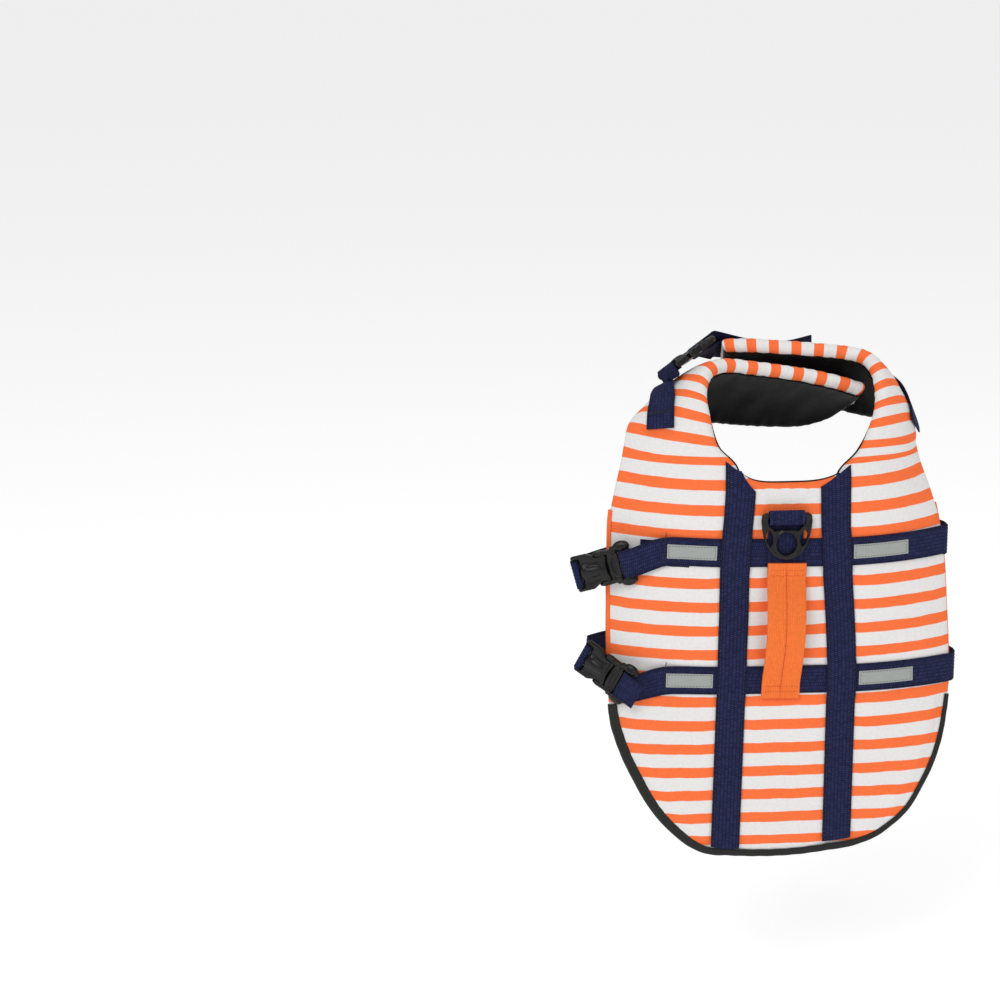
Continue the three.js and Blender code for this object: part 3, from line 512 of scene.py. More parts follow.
def outer_relief(side, field, pucker):
    """How far a side piece's outer face stands over its solid: swell, soft waves and puckers."""
    x, z = field["points"][..., 0], field["points"][..., 2]
    on_back, wing = straps_gap(side, field)
    rim = np.minimum((1 - field["t"]) * field["full"], np.minimum(field["to_hem"], field["to_tip"]))
    rim = np.where(field["s"] > ROLLED_FROM, np.minimum(rim, field["t"] * field["full"]), rim)
    free = rising(on_back) * rising(rim, 9.0)
    swell = PUFF * free * (0.55 + 0.45 * rising(wing, 5.0))
    waves = 0.55 * free * ripple(x, field["print"], 11 + side["facing"], 46)
    beside = np.exp(-np.maximum(on_back, 0) / 5.0) * (on_back > 0)
    along = np.where(np.abs(x) > 75, x, field["print"])
    tucks = pucker * beside * ripple(along, along * 0.3, 31 + side["facing"], 8, 4) * 0.7
    hem = np.exp(-((field["to_hem"] - 10) / 5.0) ** 2)
    tucks = tucks + 0.22 * hem * ripple(x, z, 5, 9, 4) * (field["to_hem"] > 7)
    least = np.where(on_back > 0, -0.15, 0)
    swollen = np.maximum(swell + waves + tucks, least) * (field["half"] > 0.5)
    return swollen + edge_puckers(side, field, pucker)


# Meshes


def slab(front, back):
    """Quads of a closed slab between two grids of points."""
    rows, columns = front.shape[:2]
    count = rows * columns
    points = np.concatenate([front.reshape(-1, 3), back.reshape(-1, 3)])
    k = np.arange(count).reshape(rows, columns)
    top = np.stack([k[:-1, :-1], k[:-1, 1:], k[1:, 1:], k[1:, :-1]], -1).reshape(-1, 4)

    def wall(line):
        a, b = line[:-1], line[1:]
        return np.stack([b, a, a + count, b + count], -1)

    walls = [wall(k[0]), wall(k[-1][::-1]), wall(k[:, -1]), wall(k[:, 0][::-1])]
    return points, np.concatenate([top, top[:, ::-1] + count, *walls])


def swept(outline, places, across, out):
    """A closed outline moved along places, with its two ends capped, and its cloth coordinates."""
    count, steps = len(outline), len(places)
    points = (places[:, None] + across[:, None] * outline[None, :, :1] + out[:, None] * outline[None, :, 1:])
    k = np.arange(steps * count).reshape(steps, count)
    after = np.roll(k, -1, axis=1)
    sides = np.stack([k[:-1], after[:-1], after[1:], k[1:]], -1).reshape(-1, 4)
    faces = sides.tolist() + [k[0][::-1].tolist(), k[-1].tolist()]
    run = run_along(places)
    wide, high = np.tile(outline.T, (1, steps))
    cloth = np.stack([np.repeat(run, count), wide, high], -1)
    return points.reshape(-1, 3), faces, cloth


def welded(points, faces, cloth):
    """Points that lie together become one, and faces keep at least three corners."""
    keys = np.round(points * 100).astype(np.int64)
    _, first, place = np.unique(keys, axis=0, return_index=True, return_inverse=True)
    place = place.reshape(-1)
    kept = []
    for face in faces:
        loop = []
        for k in face:
            if not loop or place[k] != loop[-1]:
                loop.append(int(place[k]))
        if len(loop) > 1 and loop[0] == loop[-1]:
            loop.pop()
        if len(set(loop)) > 2:
            kept.append(loop)
    return points[first], kept, cloth[first]


def outward(points, faces):
    """The faces, turned so that they look out of the shape that they close."""
    volume = 0.0
    for face in faces:
        a = points[face[0]]
        for k in range(1, len(face) - 1):
            volume += a @ np.cross(points[face[k]], points[face[k + 1]])
    return faces if volume > 0 else [list(face)[::-1] for face in faces]


def add_piece(name, shape, material, body="jacket", stands_for=(), sharp=50):
    """A closed mesh with its cloth coordinates, its finish and the body that carries it."""
    points, faces, cloth = shape
    faces = outward(points, [list(map(int, face)) for face in faces])
    mesh = bpy.data.meshes.new(name)
    mesh.from_pydata((points * MM).tolist(), [], faces)
    mesh.update()
    attribute = mesh.attributes.new("cloth", "FLOAT_VECTOR", "POINT")
    attribute.data.foreach_set("vector", (cloth * MM).astype(np.float32).ravel())
    mesh.shade_smooth()
    mesh.set_sharp_from_angle(angle=math.radians(sharp))
    mesh.materials.append(finish(material))
    piece = bpy.data.objects.new(name, mesh)
    bpy.context.scene.collection.objects.link(piece)
    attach(piece, body)
    if stands_for:
        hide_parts(*stands_for)
    return piece


def joined(shapes):
    """Several shapes as one."""
    points, faces, cloth, start = [], [], [], 0
    for p, f, c in shapes:
        points.append(p)
        cloth.append(c)
        faces += [[int(k) + start for k in face] for face in f]
        start += len(p)
    return np.concatenate(points), faces, np.concatenate(cloth)


def flat_outline(width, ply, columns=13, relief=0.0):
    """Outline of flat webbing with rounded edges, from its left edge over the top."""
    across = np.linspace(-width / 2 + ply * 0.3, width / 2 - ply * 0.3, columns)
    top = np.stack([across, ply / 2 + relief * (np.cos(across / RIB * 2 * np.pi) - 1)], -1)
    tip = np.array([[width / 2, ply * 0.22], [width / 2, -ply * 0.22]])
    under = top[::-1] * [1, -1]
    return np.concatenate([top, tip, under, -tip])[::-1]


def directions(places, across):
    """Directions across and out for a ribbon, square to its own line."""
    tangent = unit(np.gradient(places, axis=0))
    flat = unit(across - tangent * (across * tangent).sum(-1, keepdims=True))
    return flat, np.cross(tangent, flat)


def densify(places, across, step=1.2, rounds=2):
    """Stations at even small steps along a line of stations, with its corners eased."""
    run = run_along(places)
    even = np.linspace(0, run[-1], max(3, int(run[-1] / step)))
    fine = [np.stack([np.interp(even, run, v[:, k]) for k in range(3)], -1) for v in (places, across)]
    for _ in range(rounds):
        for v in fine:
            v[1:-1] = v[1:-1] * 0.5 + (v[:-2] + v[2:]) * 0.25
    return fine[0], fine[1]


def ribbon(places, across, width=WEBBING, ply=PLY, step=1.2, rounds=2, columns=41, relief=0.13, soft=None):
    """Ribbed webbing along a line of stations, bent more softly near one of its places."""
    places, across = densify(np.asarray(places, float), np.asarray(across, float), step, rounds)
    if soft is not None:
        k = int(np.argmin(np.linalg.norm(places - soft[0], axis=1)))
        low, high = max(1, k - soft[1]), min(len(places) - 1, k + soft[1])
        for _ in range(60):
            for v in (places, across):
                v[low:high] = v[low:high] * 0.5 + (v[low - 1:high - 1] + v[low + 1:high + 1]) * 0.25
    flat, out = directions(places, across)
    return swept(flat_outline(width, ply, columns, relief), places, flat, out)


def stitches(line, out, size, gap=1.1, radius=0.32, sink=0.1):
    """Short threads laid along a line of points, each a small rounded bar."""
    run = run_along(line)
    ring = np.radians(np.arange(0, 360, 60))
    shapes = []
    starts = np.arange(gap / 2, run[-1] - size * 0.6, size + gap)
    for start in starts:
        ends = [np.array([np.interp(start + d, run, line[:, k]) for k in range(3)]) for d in (0, size)]
        normal = np.array([np.interp(start + size / 2, run, out[:, k]) for k in range(3)])
        along = unit(ends[1] - ends[0])
        wide = unit(np.cross(normal, along))
        points = []
        for share, fat in ((0.0, 0.35), (0.15, 0.85), (0.5, 1.0), (0.85, 0.85), (1.0, 0.35)):
            height = radius * fat - sink - radius * (1 - fat) * 0.8
            base = ends[0] + (ends[1] - ends[0]) * share + normal * height
            for a in ring:
                points.append(base + (wide * np.cos(a) + normal * np.sin(a)) * radius * fat)
        k = np.arange(30).reshape(5, 6)
        after = np.roll(k, -1, axis=1)
        faces = np.stack([k[:-1], after[:-1], after[1:], k[1:]], -1).reshape(-1, 4).tolist()
        faces += [k[0][::-1].tolist(), k[-1].tolist()]
        shapes.append((np.array(points), faces, np.tile([start, 0.0, 0.0], (30, 1))))
    return joined(shapes)


# Finishes


def add_node(tree, kind, settings=None, inputs=None):
    """One node, with its settings and with each input given as a value or as a socket to link."""
    made = tree.nodes.new(kind)
    for name, value in (settings or {}).items():
        setattr(made, name, value)
    for name, value in (inputs or {}).items():
        if isinstance(value, bpy.types.NodeSocket):
            tree.links.new(value, made.inputs[name])
        else:
            made.inputs[name].default_value = value
    return made


FINISHES = {}


def finish(name):
    """The named material, made once."""
    if name not in FINISHES:
        material = bpy.data.materials.new(name)
        material.use_nodes = True
        material.node_tree.nodes.clear()
        FINISHES[name] = material
        MAKERS[name](material.node_tree)
    return FINISHES[name]


def surface(tree, **inputs):
    """The shader and its output."""
    named = {name.replace("_", " "): value for name, value in inputs.items()}
    shader = add_node(tree, "ShaderNodeBsdfPrincipled", inputs=named)
    add_node(tree, "ShaderNodeOutputMaterial", inputs={"Surface": shader.outputs[0]})


def cloth_place(tree):
    """Coordinates on the cloth itself, in millimetres."""
    place = add_node(tree, "ShaderNodeAttribute", {"attribute_name": "cloth"})
    return add_node(tree, "ShaderNodeVectorMath", {"operation": "SCALE"},
                    {0: place.outputs["Vector"], "Scale": 1000.0})


def noise(tree, place, scale, detail):
    """Soft noise over the cloth, from 0 to 1."""
    made = add_node(tree, "ShaderNodeTexNoise",
                    inputs={"Vector": place.outputs[0], "Scale": scale, "Detail": detail})
    return made.outputs["Fac"]


def spread(tree, value, low, high):
    """Noise stretched over a range of its own."""
    made = add_node(tree, "ShaderNodeMapRange", inputs={"Value": value, "From Min": 0.3, "From Max": 0.7,
                                                         "To Min": low, "To Max": high})
    return made.outputs["Result"]


def shaded(tree, factor, base, low, high):
    """A colour between a darker and a lighter share of itself."""
    made = add_node(tree, "ShaderNodeMix", {"data_type": "RGBA"},
                    {"Factor": factor, 6: rgba(base, low), 7: rgba(base, high)})
    return made.outputs[2]


def grained(tree, height, strength, distance):
    """The normal of a fine grain, whose real depth is given in metres."""
    made = add_node(tree, "ShaderNodeBump", inputs={"Strength": strength, "Distance": distance,
                                                     "Height": height})
    return made.outputs[0]


def rgba(value, times=1.0):
    """A colour for a socket, times a factor."""
    return tuple(min(1.0, c * times) for c in value[:3]) + (1.0,)


def printed_polyester(tree):
    """Plain-woven polyester with a printed stripe: matt, crisp edges, threads that just show."""
    colours = bpy.context.scene.life_jacket_colours
    place = cloth_place(tree)
    pitch, width, start = chosen("stripe_pitch"), chosen("stripe_width"), chosen("stripe_start")
    split = add_node(tree, "ShaderNodeSeparateXYZ", inputs={0: place.outputs[0]})
    # printed cloth is never quite straight: the line wanders by a quarter of a millimetre
    wander = add_node(tree, "ShaderNodeTexNoise", {"noise_dimensions": "2D"},
                      {"Vector": place.outputs[0], "Scale": 0.06, "Detail": 2.0})
    moved = add_node(tree, "ShaderNodeMath", {"operation": "MULTIPLY_ADD"},
                     {0: wander.outputs["Fac"], 1: 1.2, 2: split.outputs["Y"]})
    turns = add_node(tree, "ShaderNodeMath", {"operation": "MULTIPLY_ADD"},
                     {0: moved.outputs[0], 1: 1 / pitch, 2: (20 * pitch - start - 0.6) / pitch + 0.5})
    share = add_node(tree, "ShaderNodeMath", {"operation": "FRACT"}, {0: turns.outputs[0]})
    off = add_node(tree, "ShaderNodeMath", {"operation": "SUBTRACT"}, {0: share.outputs[0], 1: 0.5})
    gap = add_node(tree, "ShaderNodeMath", {"operation": "ABSOLUTE"}, {0: off.outputs[0]})
    edge = width / pitch / 2
    mask = add_node(tree, "ShaderNodeMapRange", {"interpolation_type": "SMOOTHSTEP"},
                    {"Value": gap.outputs[0], "From Min": edge - 0.012, "From Max": edge + 0.012,
                     "To Min": 1.0, "To Max": 0.0})
    weave = plain_weave(tree, place, (1, 1, 1, 1), (0.93, 0.93, 0.93, 1), (0.84, 0.84, 0.84, 1))
    slub = add_node(tree, "ShaderNodeTexNoise", {"noise_dimensions": "2D"},
                    {"Vector": place.outputs[0], "Scale": 0.35, "Detail": 4.0, "Roughness": 0.7})
    threads = add_node(tree, "ShaderNodeMix", {"data_type": "RGBA", "blend_type": "MULTIPLY"},
                       {"Factor": 0.5, 6: (1, 1, 1, 1), 7: weave.outputs["Color"]})
    ink = add_node(tree, "ShaderNodeMix", {"data_type": "RGBA"},
                   {"Factor": mask.outputs["Result"], 6: rgba(colours.white), 7: rgba(colours.orange)})
    toned = add_node(tree, "ShaderNodeVectorMath", {"operation": "SCALE"},
                     {0: ink.outputs[2], "Scale": spread(tree, slub.outputs["Fac"], 0.955, 1.03)})
    cloth = add_node(tree, "ShaderNodeMix", {"data_type": "RGBA", "blend_type": "MULTIPLY"},
                     {"Factor": 1.0, 6: toned.outputs[0], 7: threads.outputs[2]})
    surface(tree, Base_Color=cloth.outputs[2], Roughness=0.75,
            Normal=grained(tree, weave.outputs["Color"], 0.22, 0.0002), Specular_IOR_Level=0.12)


def plain_weave(tree, place, warp, weft, between):
    """Plain weave. Its threads are 0.4 mm apart, and are drawn 1 mm apart so that they show."""
    return add_node(tree, "ShaderNodeTexBrick", {"offset": 0.5},
                    {"Vector": place.outputs[0], "Scale": 1.0, "Brick Width": 1.0, "Row Height": 1.0,
                     "Mortar Size": 0.16, "Mortar Smooth": 1.0, "Color1": warp, "Color2": weft,
                     "Mortar": between})


def boxing_polyester(tree):
    """The same cloth, plain orange, cut as a narrow strip."""
    orange = bpy.context.scene.life_jacket_colours.orange
    weave = plain_weave(tree, cloth_place(tree), rgba(orange), rgba(orange, 0.93), rgba(orange, 0.8))
    surface(tree, Base_Color=weave.outputs["Color"], Roughness=0.75,
            Normal=grained(tree, weave.outputs["Fac"], 0.3, 0.0002), Specular_IOR_Level=0.12)


def satin_lining(tree):
    """Black polyester satin: floating threads give a soft streaked gloss, and painted sheen streaks lighten
    and darken its colour.
    """
    colours = bpy.context.scene.life_jacket_colours
    place = cloth_place(tree)
    drawn = add_node(tree, "ShaderNodeVectorMath", {"operation": "MULTIPLY"},
                     {0: place.outputs[0], 1: (0.25, 2.2, 1.0)})
    floats_and_painted_sheen = noise(tree, drawn, 0.5, 3.0)
    creases = noise(tree, place, 0.09, 3.0)
    # painted sheen: the same streaks that vary the roughness also lighten and darken the base colour
    surface(tree, Base_Color=shaded(tree, floats_and_painted_sheen, colours.lining, 0.8, 1.25),
            Roughness=spread(tree, floats_and_painted_sheen, 0.44, 0.56), Normal=grained(tree, creases, 0.25, 0.0012),
            Specular_IOR_Level=0.12)


def grosgrain_binding(tree):
    """Black grosgrain tape: fine ribs across it, drawn 1.1 mm apart, and a dull gloss on the fold."""
    colours = bpy.context.scene.life_jacket_colours
    place = cloth_place(tree)
    ribs = add_node(tree, "ShaderNodeTexWave", {"wave_type": "BANDS", "bands_direction": "X"},
                    {"Vector": place.outputs[0], "Scale": 2 * math.pi / 20 / 1.1, "Distortion": 0.4})
    wear = noise(tree, place, 0.12, 4.0)
    surface(tree, Base_Color=shaded(tree, wear, colours.binding, 0.75, 1.5), Roughness=0.55,
            Normal=grained(tree, ribs.outputs["Fac"], 0.3, 0.0003), Specular_IOR_Level=0.3)


def woven_webbing(tree, base, rib, pick, contrast, rough, fibres, selvedge):
    """Woven webbing: ribs along it, crossed by picks that show as rows of small dots."""
    place = cloth_place(tree)
    weave = add_node(tree, "ShaderNodeTexBrick", {"offset": 0.5},
                     {"Vector": place.outputs[0], "Scale": 1.0, "Brick Width": pick, "Row Height": rib,
                      "Mortar Size": rib * 0.16, "Mortar Smooth": 0.9,
                      "Color1": rgba(base, 1 + contrast * 0.5), "Color2": rgba(base, 1 - contrast * 0.3),
                      "Mortar": rgba(base, 1 - contrast)})
    fibre = add_node(tree, "ShaderNodeTexNoise", {"noise_dimensions": "3D"},
                     {"Vector": place.outputs[0], "Scale": fibres, "Detail": 4.0, "Roughness": 0.65})
    tone = spread(tree, fibre.outputs["Fac"], 1 - contrast * 0.15, 1 + contrast * 0.15)
    # the selvedge: a darker line where the weave is packed, 1.5 mm inside each edge
    split = add_node(tree, "ShaderNodeSeparateXYZ", inputs={0: place.outputs[0]})
    side = add_node(tree, "ShaderNodeMath", {"operation": "ABSOLUTE"}, {0: split.outputs["Y"]})
    gap = add_node(tree, "ShaderNodeMath", {"operation": "SUBTRACT"}, {0: side.outputs[0], 1: selvedge})
    near = add_node(tree, "ShaderNodeMath", {"operation": "ABSOLUTE"}, {0: gap.outputs[0]})
    packed = add_node(tree, "ShaderNodeMapRange", {"interpolation_type": "SMOOTHSTEP"},
                      {"Value": near.outputs[0], "From Min": 0.2, "From Max": 0.9,
                       "To Min": 0.45, "To Max": 1.0})
    both = add_node(tree, "ShaderNodeMath", {"operation": "MULTIPLY"},
                    {0: tone, 1: packed.outputs["Result"]})
    cloth = add_node(tree, "ShaderNodeVectorMath", {"operation": "SCALE"},
                     {0: weave.outputs["Color"], "Scale": both.outputs[0]})
    raised = add_node(tree, "ShaderNodeMath", {"operation": "SUBTRACT"}, {0: 1.0, 1: weave.outputs["Fac"]})
    surface(tree, Base_Color=cloth.outputs[0], Roughness=rough,
            Normal=grained(tree, raised.outputs[0], 0.55, 0.0004), Specular_IOR_Level=0.1)


def navy_polypropylene(tree):
    """Navy polypropylene webbing: eight ribs over its 25 mm, picks 1.7 mm apart, strong contrast, waxy."""
    base = bpy.context.scene.life_jacket_colours.webbing
    woven_webbing(tree, base, RIB, pick=1.7, contrast=0.7, rough=0.65, fibres=0.23, selvedge=11.0)


def handle_webbing(tree):
    """Orange polyester webbing: a fine even grid with little contrast, matt, and no selvedge in view."""
    base = bpy.context.scene.life_jacket_colours.handle
    woven_webbing(tree, base, 1.5, pick=2.3, contrast=0.2, rough=0.7, fibres=0.27, selvedge=30.0)


def reflective_tape(tree):
    """Glass-bead reflective tape: silver grey, matt, with a fine pebble grain and faint rubbed streaks."""
    colours = bpy.context.scene.life_jacket_colours
    place = cloth_place(tree)
    beads = add_node(tree, "ShaderNodeTexVoronoi", inputs={"Vector": place.outputs[0], "Scale": 1.4})
    drawn = add_node(tree, "ShaderNodeMapping",
                     inputs={"Vector": place.outputs[0], "Rotation": (0, 0, 0.6), "Scale": (0.1, 0.8, 1)})
    streaks = noise(tree, drawn, 0.8, 4.0)
    surface(tree, Base_Color=shaded(tree, streaks, colours.tape, 0.86, 1.12), Roughness=0.42, Metallic=0.25,
            Normal=grained(tree, beads.outputs["Distance"], 0.2, 0.0001))


def moulded_acetal(tree):
    """Black acetal, moulded with a fine spark grain: dark, with broad soft highlights."""
    colours = bpy.context.scene.life_jacket_colours
    place = cloth_place(tree)
    spark = noise(tree, place, 2.2, 2.0)
    rub = noise(tree, place, 0.1, 3.0)
    surface(tree, Base_Color=shaded(tree, rub, colours.plastic, 0.85, 1.2),
            Roughness=spread(tree, rub, 0.26, 0.38), Normal=grained(tree, spark, 0.12, 0.0001),
            IOR=1.48, Specular_IOR_Level=0.34)


def spun_thread(tree, base):
    """Twisted polyester sewing thread."""
    twist = add_node(tree, "ShaderNodeTexWave", {"wave_type": "BANDS", "bands_direction": "DIAGONAL"},
                     {"Vector": cloth_place(tree).outputs[0], "Scale": 1.0})
    surface(tree, Base_Color=shaded(tree, twist.outputs["Fac"], base, 0.8, 1.15), Roughness=0.55,
            Sheen_Weight=0.1)


MAKERS = {
    "printed_polyester": printed_polyester,
    "boxing_polyester": boxing_polyester,
    "satin_lining": satin_lining,
    "grosgrain_binding": grosgrain_binding,
    "navy_polypropylene": navy_polypropylene,
    "handle_webbing": handle_webbing,
    "reflective_tape": reflective_tape,
    "moulded_acetal": moulded_acetal,
    "navy_thread": lambda tree: spun_thread(tree, linear("1B1C36")),
    "grey_thread": lambda tree: spun_thread(tree, linear("4A4D4E")),
    "orange_thread": lambda tree: spun_thread(tree, linear("C9521F")),
    "black_thread": lambda tree: spun_thread(tree, linear("161616")),
}


# Pieces


def cloth_grid(field):
    """Cloth coordinates of a grid: across the row, up the print, and nothing."""
    across = field["t"] * field["full"]
    return np.stack([across, field["print"], np.zeros(across.shape)], -1).reshape(-1, 3)


def add_webbing(name, shape, node):
    """A piece of navy webbing that stands for a node."""
    return add_piece(name, shape, "navy_polypropylene", stands_for=[node])


def side_panel(side):
    """A padded side piece with its wing: crowned between the webbing, rolled at its free edges."""
    s = even_rows(side, 2.4)
    ends = rows_at(side["rows"], s)
    full = np.linalg.norm(ends[:, 3:6] - ends[:, :3], axis=1)
    t = shares_across(full, 42)
    field = side_field(side, np.repeat(s[:, None], t.shape[1], 1), t)
    relief = outer_relief(side, field, chosen("pucker"))
    outer = field["points"] + field["out"] * (field["half"] + relief)[..., None]
    gathers = edge_puckers(side, field, chosen("pucker"))
    gathers = gathers * (1 - ease(field["t"] * field["full"], 3.0, 5.5))
    inner = field["points"] - field["out"] * (field["half"] + gathers)[..., None]
    points, faces = slab(outer, inner)
    cloth = np.tile(cloth_grid(field), (2, 1))
    shape = welded(points, faces.tolist(), cloth)
    name = side["name"]
    piece = add_piece(f"striped_panel_{name}", shape, "printed_polyester",
                      stands_for=[f"panel_{name}"])


def middle_field(s, t):
    """What the padding of the middle panel is like at rows s and shares t."""
    points = middle_points(s, t)
    points[..., 0] += (SEAM_GAP * 0.5 + NECK_EASE * np.clip(s - 7, 0, 1)) * (1 - 2 * t)
    out = normals_of(middle_points, s, t, -1, NECK_ROW)
    to_hem = np.linalg.norm(points - middle_points(np.zeros(s.shape), t), axis=-1)
    to_neck = np.linalg.norm(points - middle_points(np.full(s.shape, float(NECK_ROW)), t), axis=-1)
    half = np.minimum(hem_half(to_hem), rounded(to_neck, 0))
    return {"points": points, "out": out, "half": half, "to_hem": to_hem, "to_neck": to_neck}


def middle_rows():
    """The middle panel's rows, closer together at its neck."""
    fine = np.linspace(0, NECK_ROW, 600)
    run = -middle_points(fine, np.full(600, 0.5))[:, 2][::-1]
    run = run - run[0]
    near = ROUND * (1 - np.cos(np.radians(np.arange(0, 91, 15))))
    places = np.concatenate([near, np.arange(ROUND + 2, run[-1], 2.4), [run[-1]]])
    return np.interp(places, run, fine[::-1])[::-1]


def middle_panel():
    """The padded middle piece, gathered at the neck and bulging beside the leash strap."""
    s, t = np.meshgrid(middle_rows(), np.linspace(0, 1, 44), indexing="ij")
    field = middle_field(s, t)
    x, z = field["points"][..., 0], field["points"][..., 2]
    gaps = [x - webbing_left(z), webbing_right(z) - x, belts_gap(x, z)]
    gap = np.minimum.reduce(gaps) - WEBBING / 2
    under_strap = np.maximum(np.abs(x - STRAP_MIDDLE) - STRAP_WIDTH / 2, z - RING_Z - 5)
    under_strap = np.where(z < HANDLE_FOOT - 2, 60, under_strap)
    free = rising(gap) * rising(field["to_hem"], 9.0) * rising(field["to_neck"], 5.0)
    relief = free * (PUFF * 0.7 * rising(under_strap, 5.0) + 0.25 * ripple(x, z, 3, 38))
    folds = 1 - 2 * np.abs(np.sin((x + 3 * np.sin(x / 11)) / 4.6 + 0.02 * z)) ** 0.7
    by_neck = np.exp(-field["to_neck"] / 9) * ease(field["to_neck"], 0.5, 3) * ease(gap, 0, 4)
    by_webbing = np.exp(-np.maximum(gap, 0) / 5) * (gap > 0)
    relief = relief + 1.3 * folds * by_neck + 0.35 * ripple(z, x * 0.2, 8, 8, 4) * by_webbing
    pull = np.exp(-(((np.abs(x - STRAP_MIDDLE) - 21) / 4) ** 2) - ((z - 94) / 14) ** 2)
    relief = np.maximum(relief + 0.5 * pull, np.where(gap > 0, -0.15, 0)) * (field["half"] > 0.5)
    outer = field["points"] + field["out"] * (field["half"] + relief)[..., None]
    inner = field["points"] - field["out"] * field["half"][..., None]
    points, faces = slab(outer, inner)
    cloth = np.stack([x + 48, z + 0.45 * folds * np.exp(-field["to_neck"] / 12), x * 0], -1).reshape(-1, 3)
    shape = welded(points, faces.tolist(), np.tile(cloth, (2, 1)))
    piece = add_piece("striped_panel_middle", shape, "printed_polyester",
                      stands_for=["panel_middle"])


def neck_margin(s):
    """How far the lining stays back from the neck edge: to the edge in front, rolled in on the wing."""
    wing = ease(s, 10.0, 11.6)
    scallop = 1.3 * np.abs(np.sin(s * 5.3 + np.sin(s * 2.3)))
    return 0.6 + (4.4 + scallop) * wing


def side_lining(side):
    """A side piece's lining, puckered where it is sewn down, and its turned edge."""
    s = even_rows(side, 3.0, 0.0, 20.86)
    ends = rows_at(side["rows"], s)
    full = np.linalg.norm(ends[:, 3:6] - ends[:, :3], axis=1)
    inner_margin = np.where(s < ROLLED_FROM, SEAM_MARGIN, neck_margin(s)) * np.minimum(1, full / 45)
    slant = np.where(s < HEM_ROW, 1.5, 1.0)
    wing = 4.5 - 3.6 * ease(s, 10.0, 11.5) + 0.5 * np.abs(np.sin(s * 5.3))
    outer_margin = np.where(s < HEM_ROW, 9.5 * slant, wing) * np.minimum(1, full / 45)
    t = shares_across(full, 30, (inner_margin, outer_margin))
    grid = side_field(side, np.repeat(s[:, None], t.shape[1], 1), t)
    keep = s > LINED_FROM
    grid = {k: (v[keep] if isinstance(v, np.ndarray) else v) for k, v in grid.items()}
    rim = np.minimum((1 - grid["t"]) * grid["full"], grid["to_tip"])
    rim = np.minimum(rim, np.where(grid["s"] < 8.4, 40, grid["t"] * grid["full"]))
    u, v = grid["t"] * grid["full"], grid["print"]
    free = rising(rim - 5, 6.0)
    relief = 0.9 * free * (0.5 + 0.5 * ripple(u, v, 41 + side["facing"], 30))
    tuck = np.exp(-np.maximum(rim - 4.5, 0) / 6) * (0.5 + 0.5 * ripple(v, v * 0.1, 52, 8, 5))
    gathers = np.abs(np.sin(v / 3.3 + 1.4 * np.sin(v / 12.1))) ** 0.8 * np.exp(-np.maximum(rim - 3, 0) / 9)
    relief = np.clip(relief + 0.55 * tuck + 1.1 * gathers, 0, 2.6)
    near = grid["points"] - grid["out"] * (grid["half"] + LINING_GAP)[..., None]
    far = grid["points"] - grid["out"] * (grid["half"] + LINING_GAP + LINING_PLY + relief)[..., None]
    points, faces = slab(near, far)
    shapes = [(points, faces.tolist(), np.tile(cloth_grid(grid), (2, 1))), neck_cord(side)]
    name = side["name"]
    piece = add_piece(f"satin_lining_{name}", joined(shapes), "satin_lining",
                      stands_for=[f"lining_{name}"])
    return piece


def neck_cord(side):
    """The lining's turned edge, which just shows along the front of the neckline."""
    s = np.linspace(NECK_ROW - 0.15, 10.9, 60)
    zero = np.zeros(60)
    line = side_points(side, s, zero)
    out = normals_of(side_surface(side), s, zero, side["facing"], LAST_ROW)
    away = unit(line - side_points(side, s, zero + 0.05))
    line = line + away * 0.3 - out * 0.3
    return round_cord(line, away, CORD_RADIUS - 0.9 * ease(s, 10.0, 10.8))


def round_cord(line, up, radius):
    """A round cord along a line, of one radius or of one a point."""
    turn = np.radians(np.arange(0, 360, 45))
    outline = np.stack([np.cos(turn), np.sin(turn)], -1)
    across, out = directions(line, up)
    radius = np.broadcast_to(radius, len(line))[:, None]
    return swept(outline, line, across * radius, out * radius)


def middle_lining():
    """The middle panel's lining and its turned edge along the neck."""
    rows = middle_rows()
    s, t = np.meshgrid(rows[rows > LINED_FROM], np.linspace(0.003, 0.997, 26), indexing="ij")
    field = middle_field(s, t)
    u, v = field["points"][..., 0], field["points"][..., 2]
    relief = 0.9 * (0.5 + 0.5 * ripple(u, v, 77, 30))
    relief = relief * rising(field["to_neck"] - 3, 6) * rising(48 - np.abs(u), 8)
    near = field["points"] - field["out"] * (field["half"] + LINING_GAP)[..., None]
    far = field["points"] - field["out"] * (field["half"] + LINING_GAP + LINING_PLY + relief)[..., None]
    keep = field["to_neck"][:, 13] > 0.5
    points, faces = slab(near[keep], far[keep])
    cloth = np.stack([u + 48, v, u * 0], -1)[keep].reshape(-1, 3)
    across = np.linspace(-0.02, 1.02, 60)
    line = middle_points(np.full(60, float(NECK_ROW)), across)
    out = normals_of(middle_points, np.full(60, NECK_ROW - 0.03), np.clip(across, 0, 1), -1, NECK_ROW)
    up = unit(np.cross(np.gradient(line, axis=0), out))
    up *= np.sign(up[:, 2:3])
    cord = round_cord(line + up * 0.3 - out * 0.3, up, CORD_RADIUS)
    shapes = [(points, faces.tolist(), np.tile(cloth, (2, 1))), cord]
    return add_piece("satin_lining_middle", joined(shapes), "satin_lining",
                     stands_for=["lining_middle"])


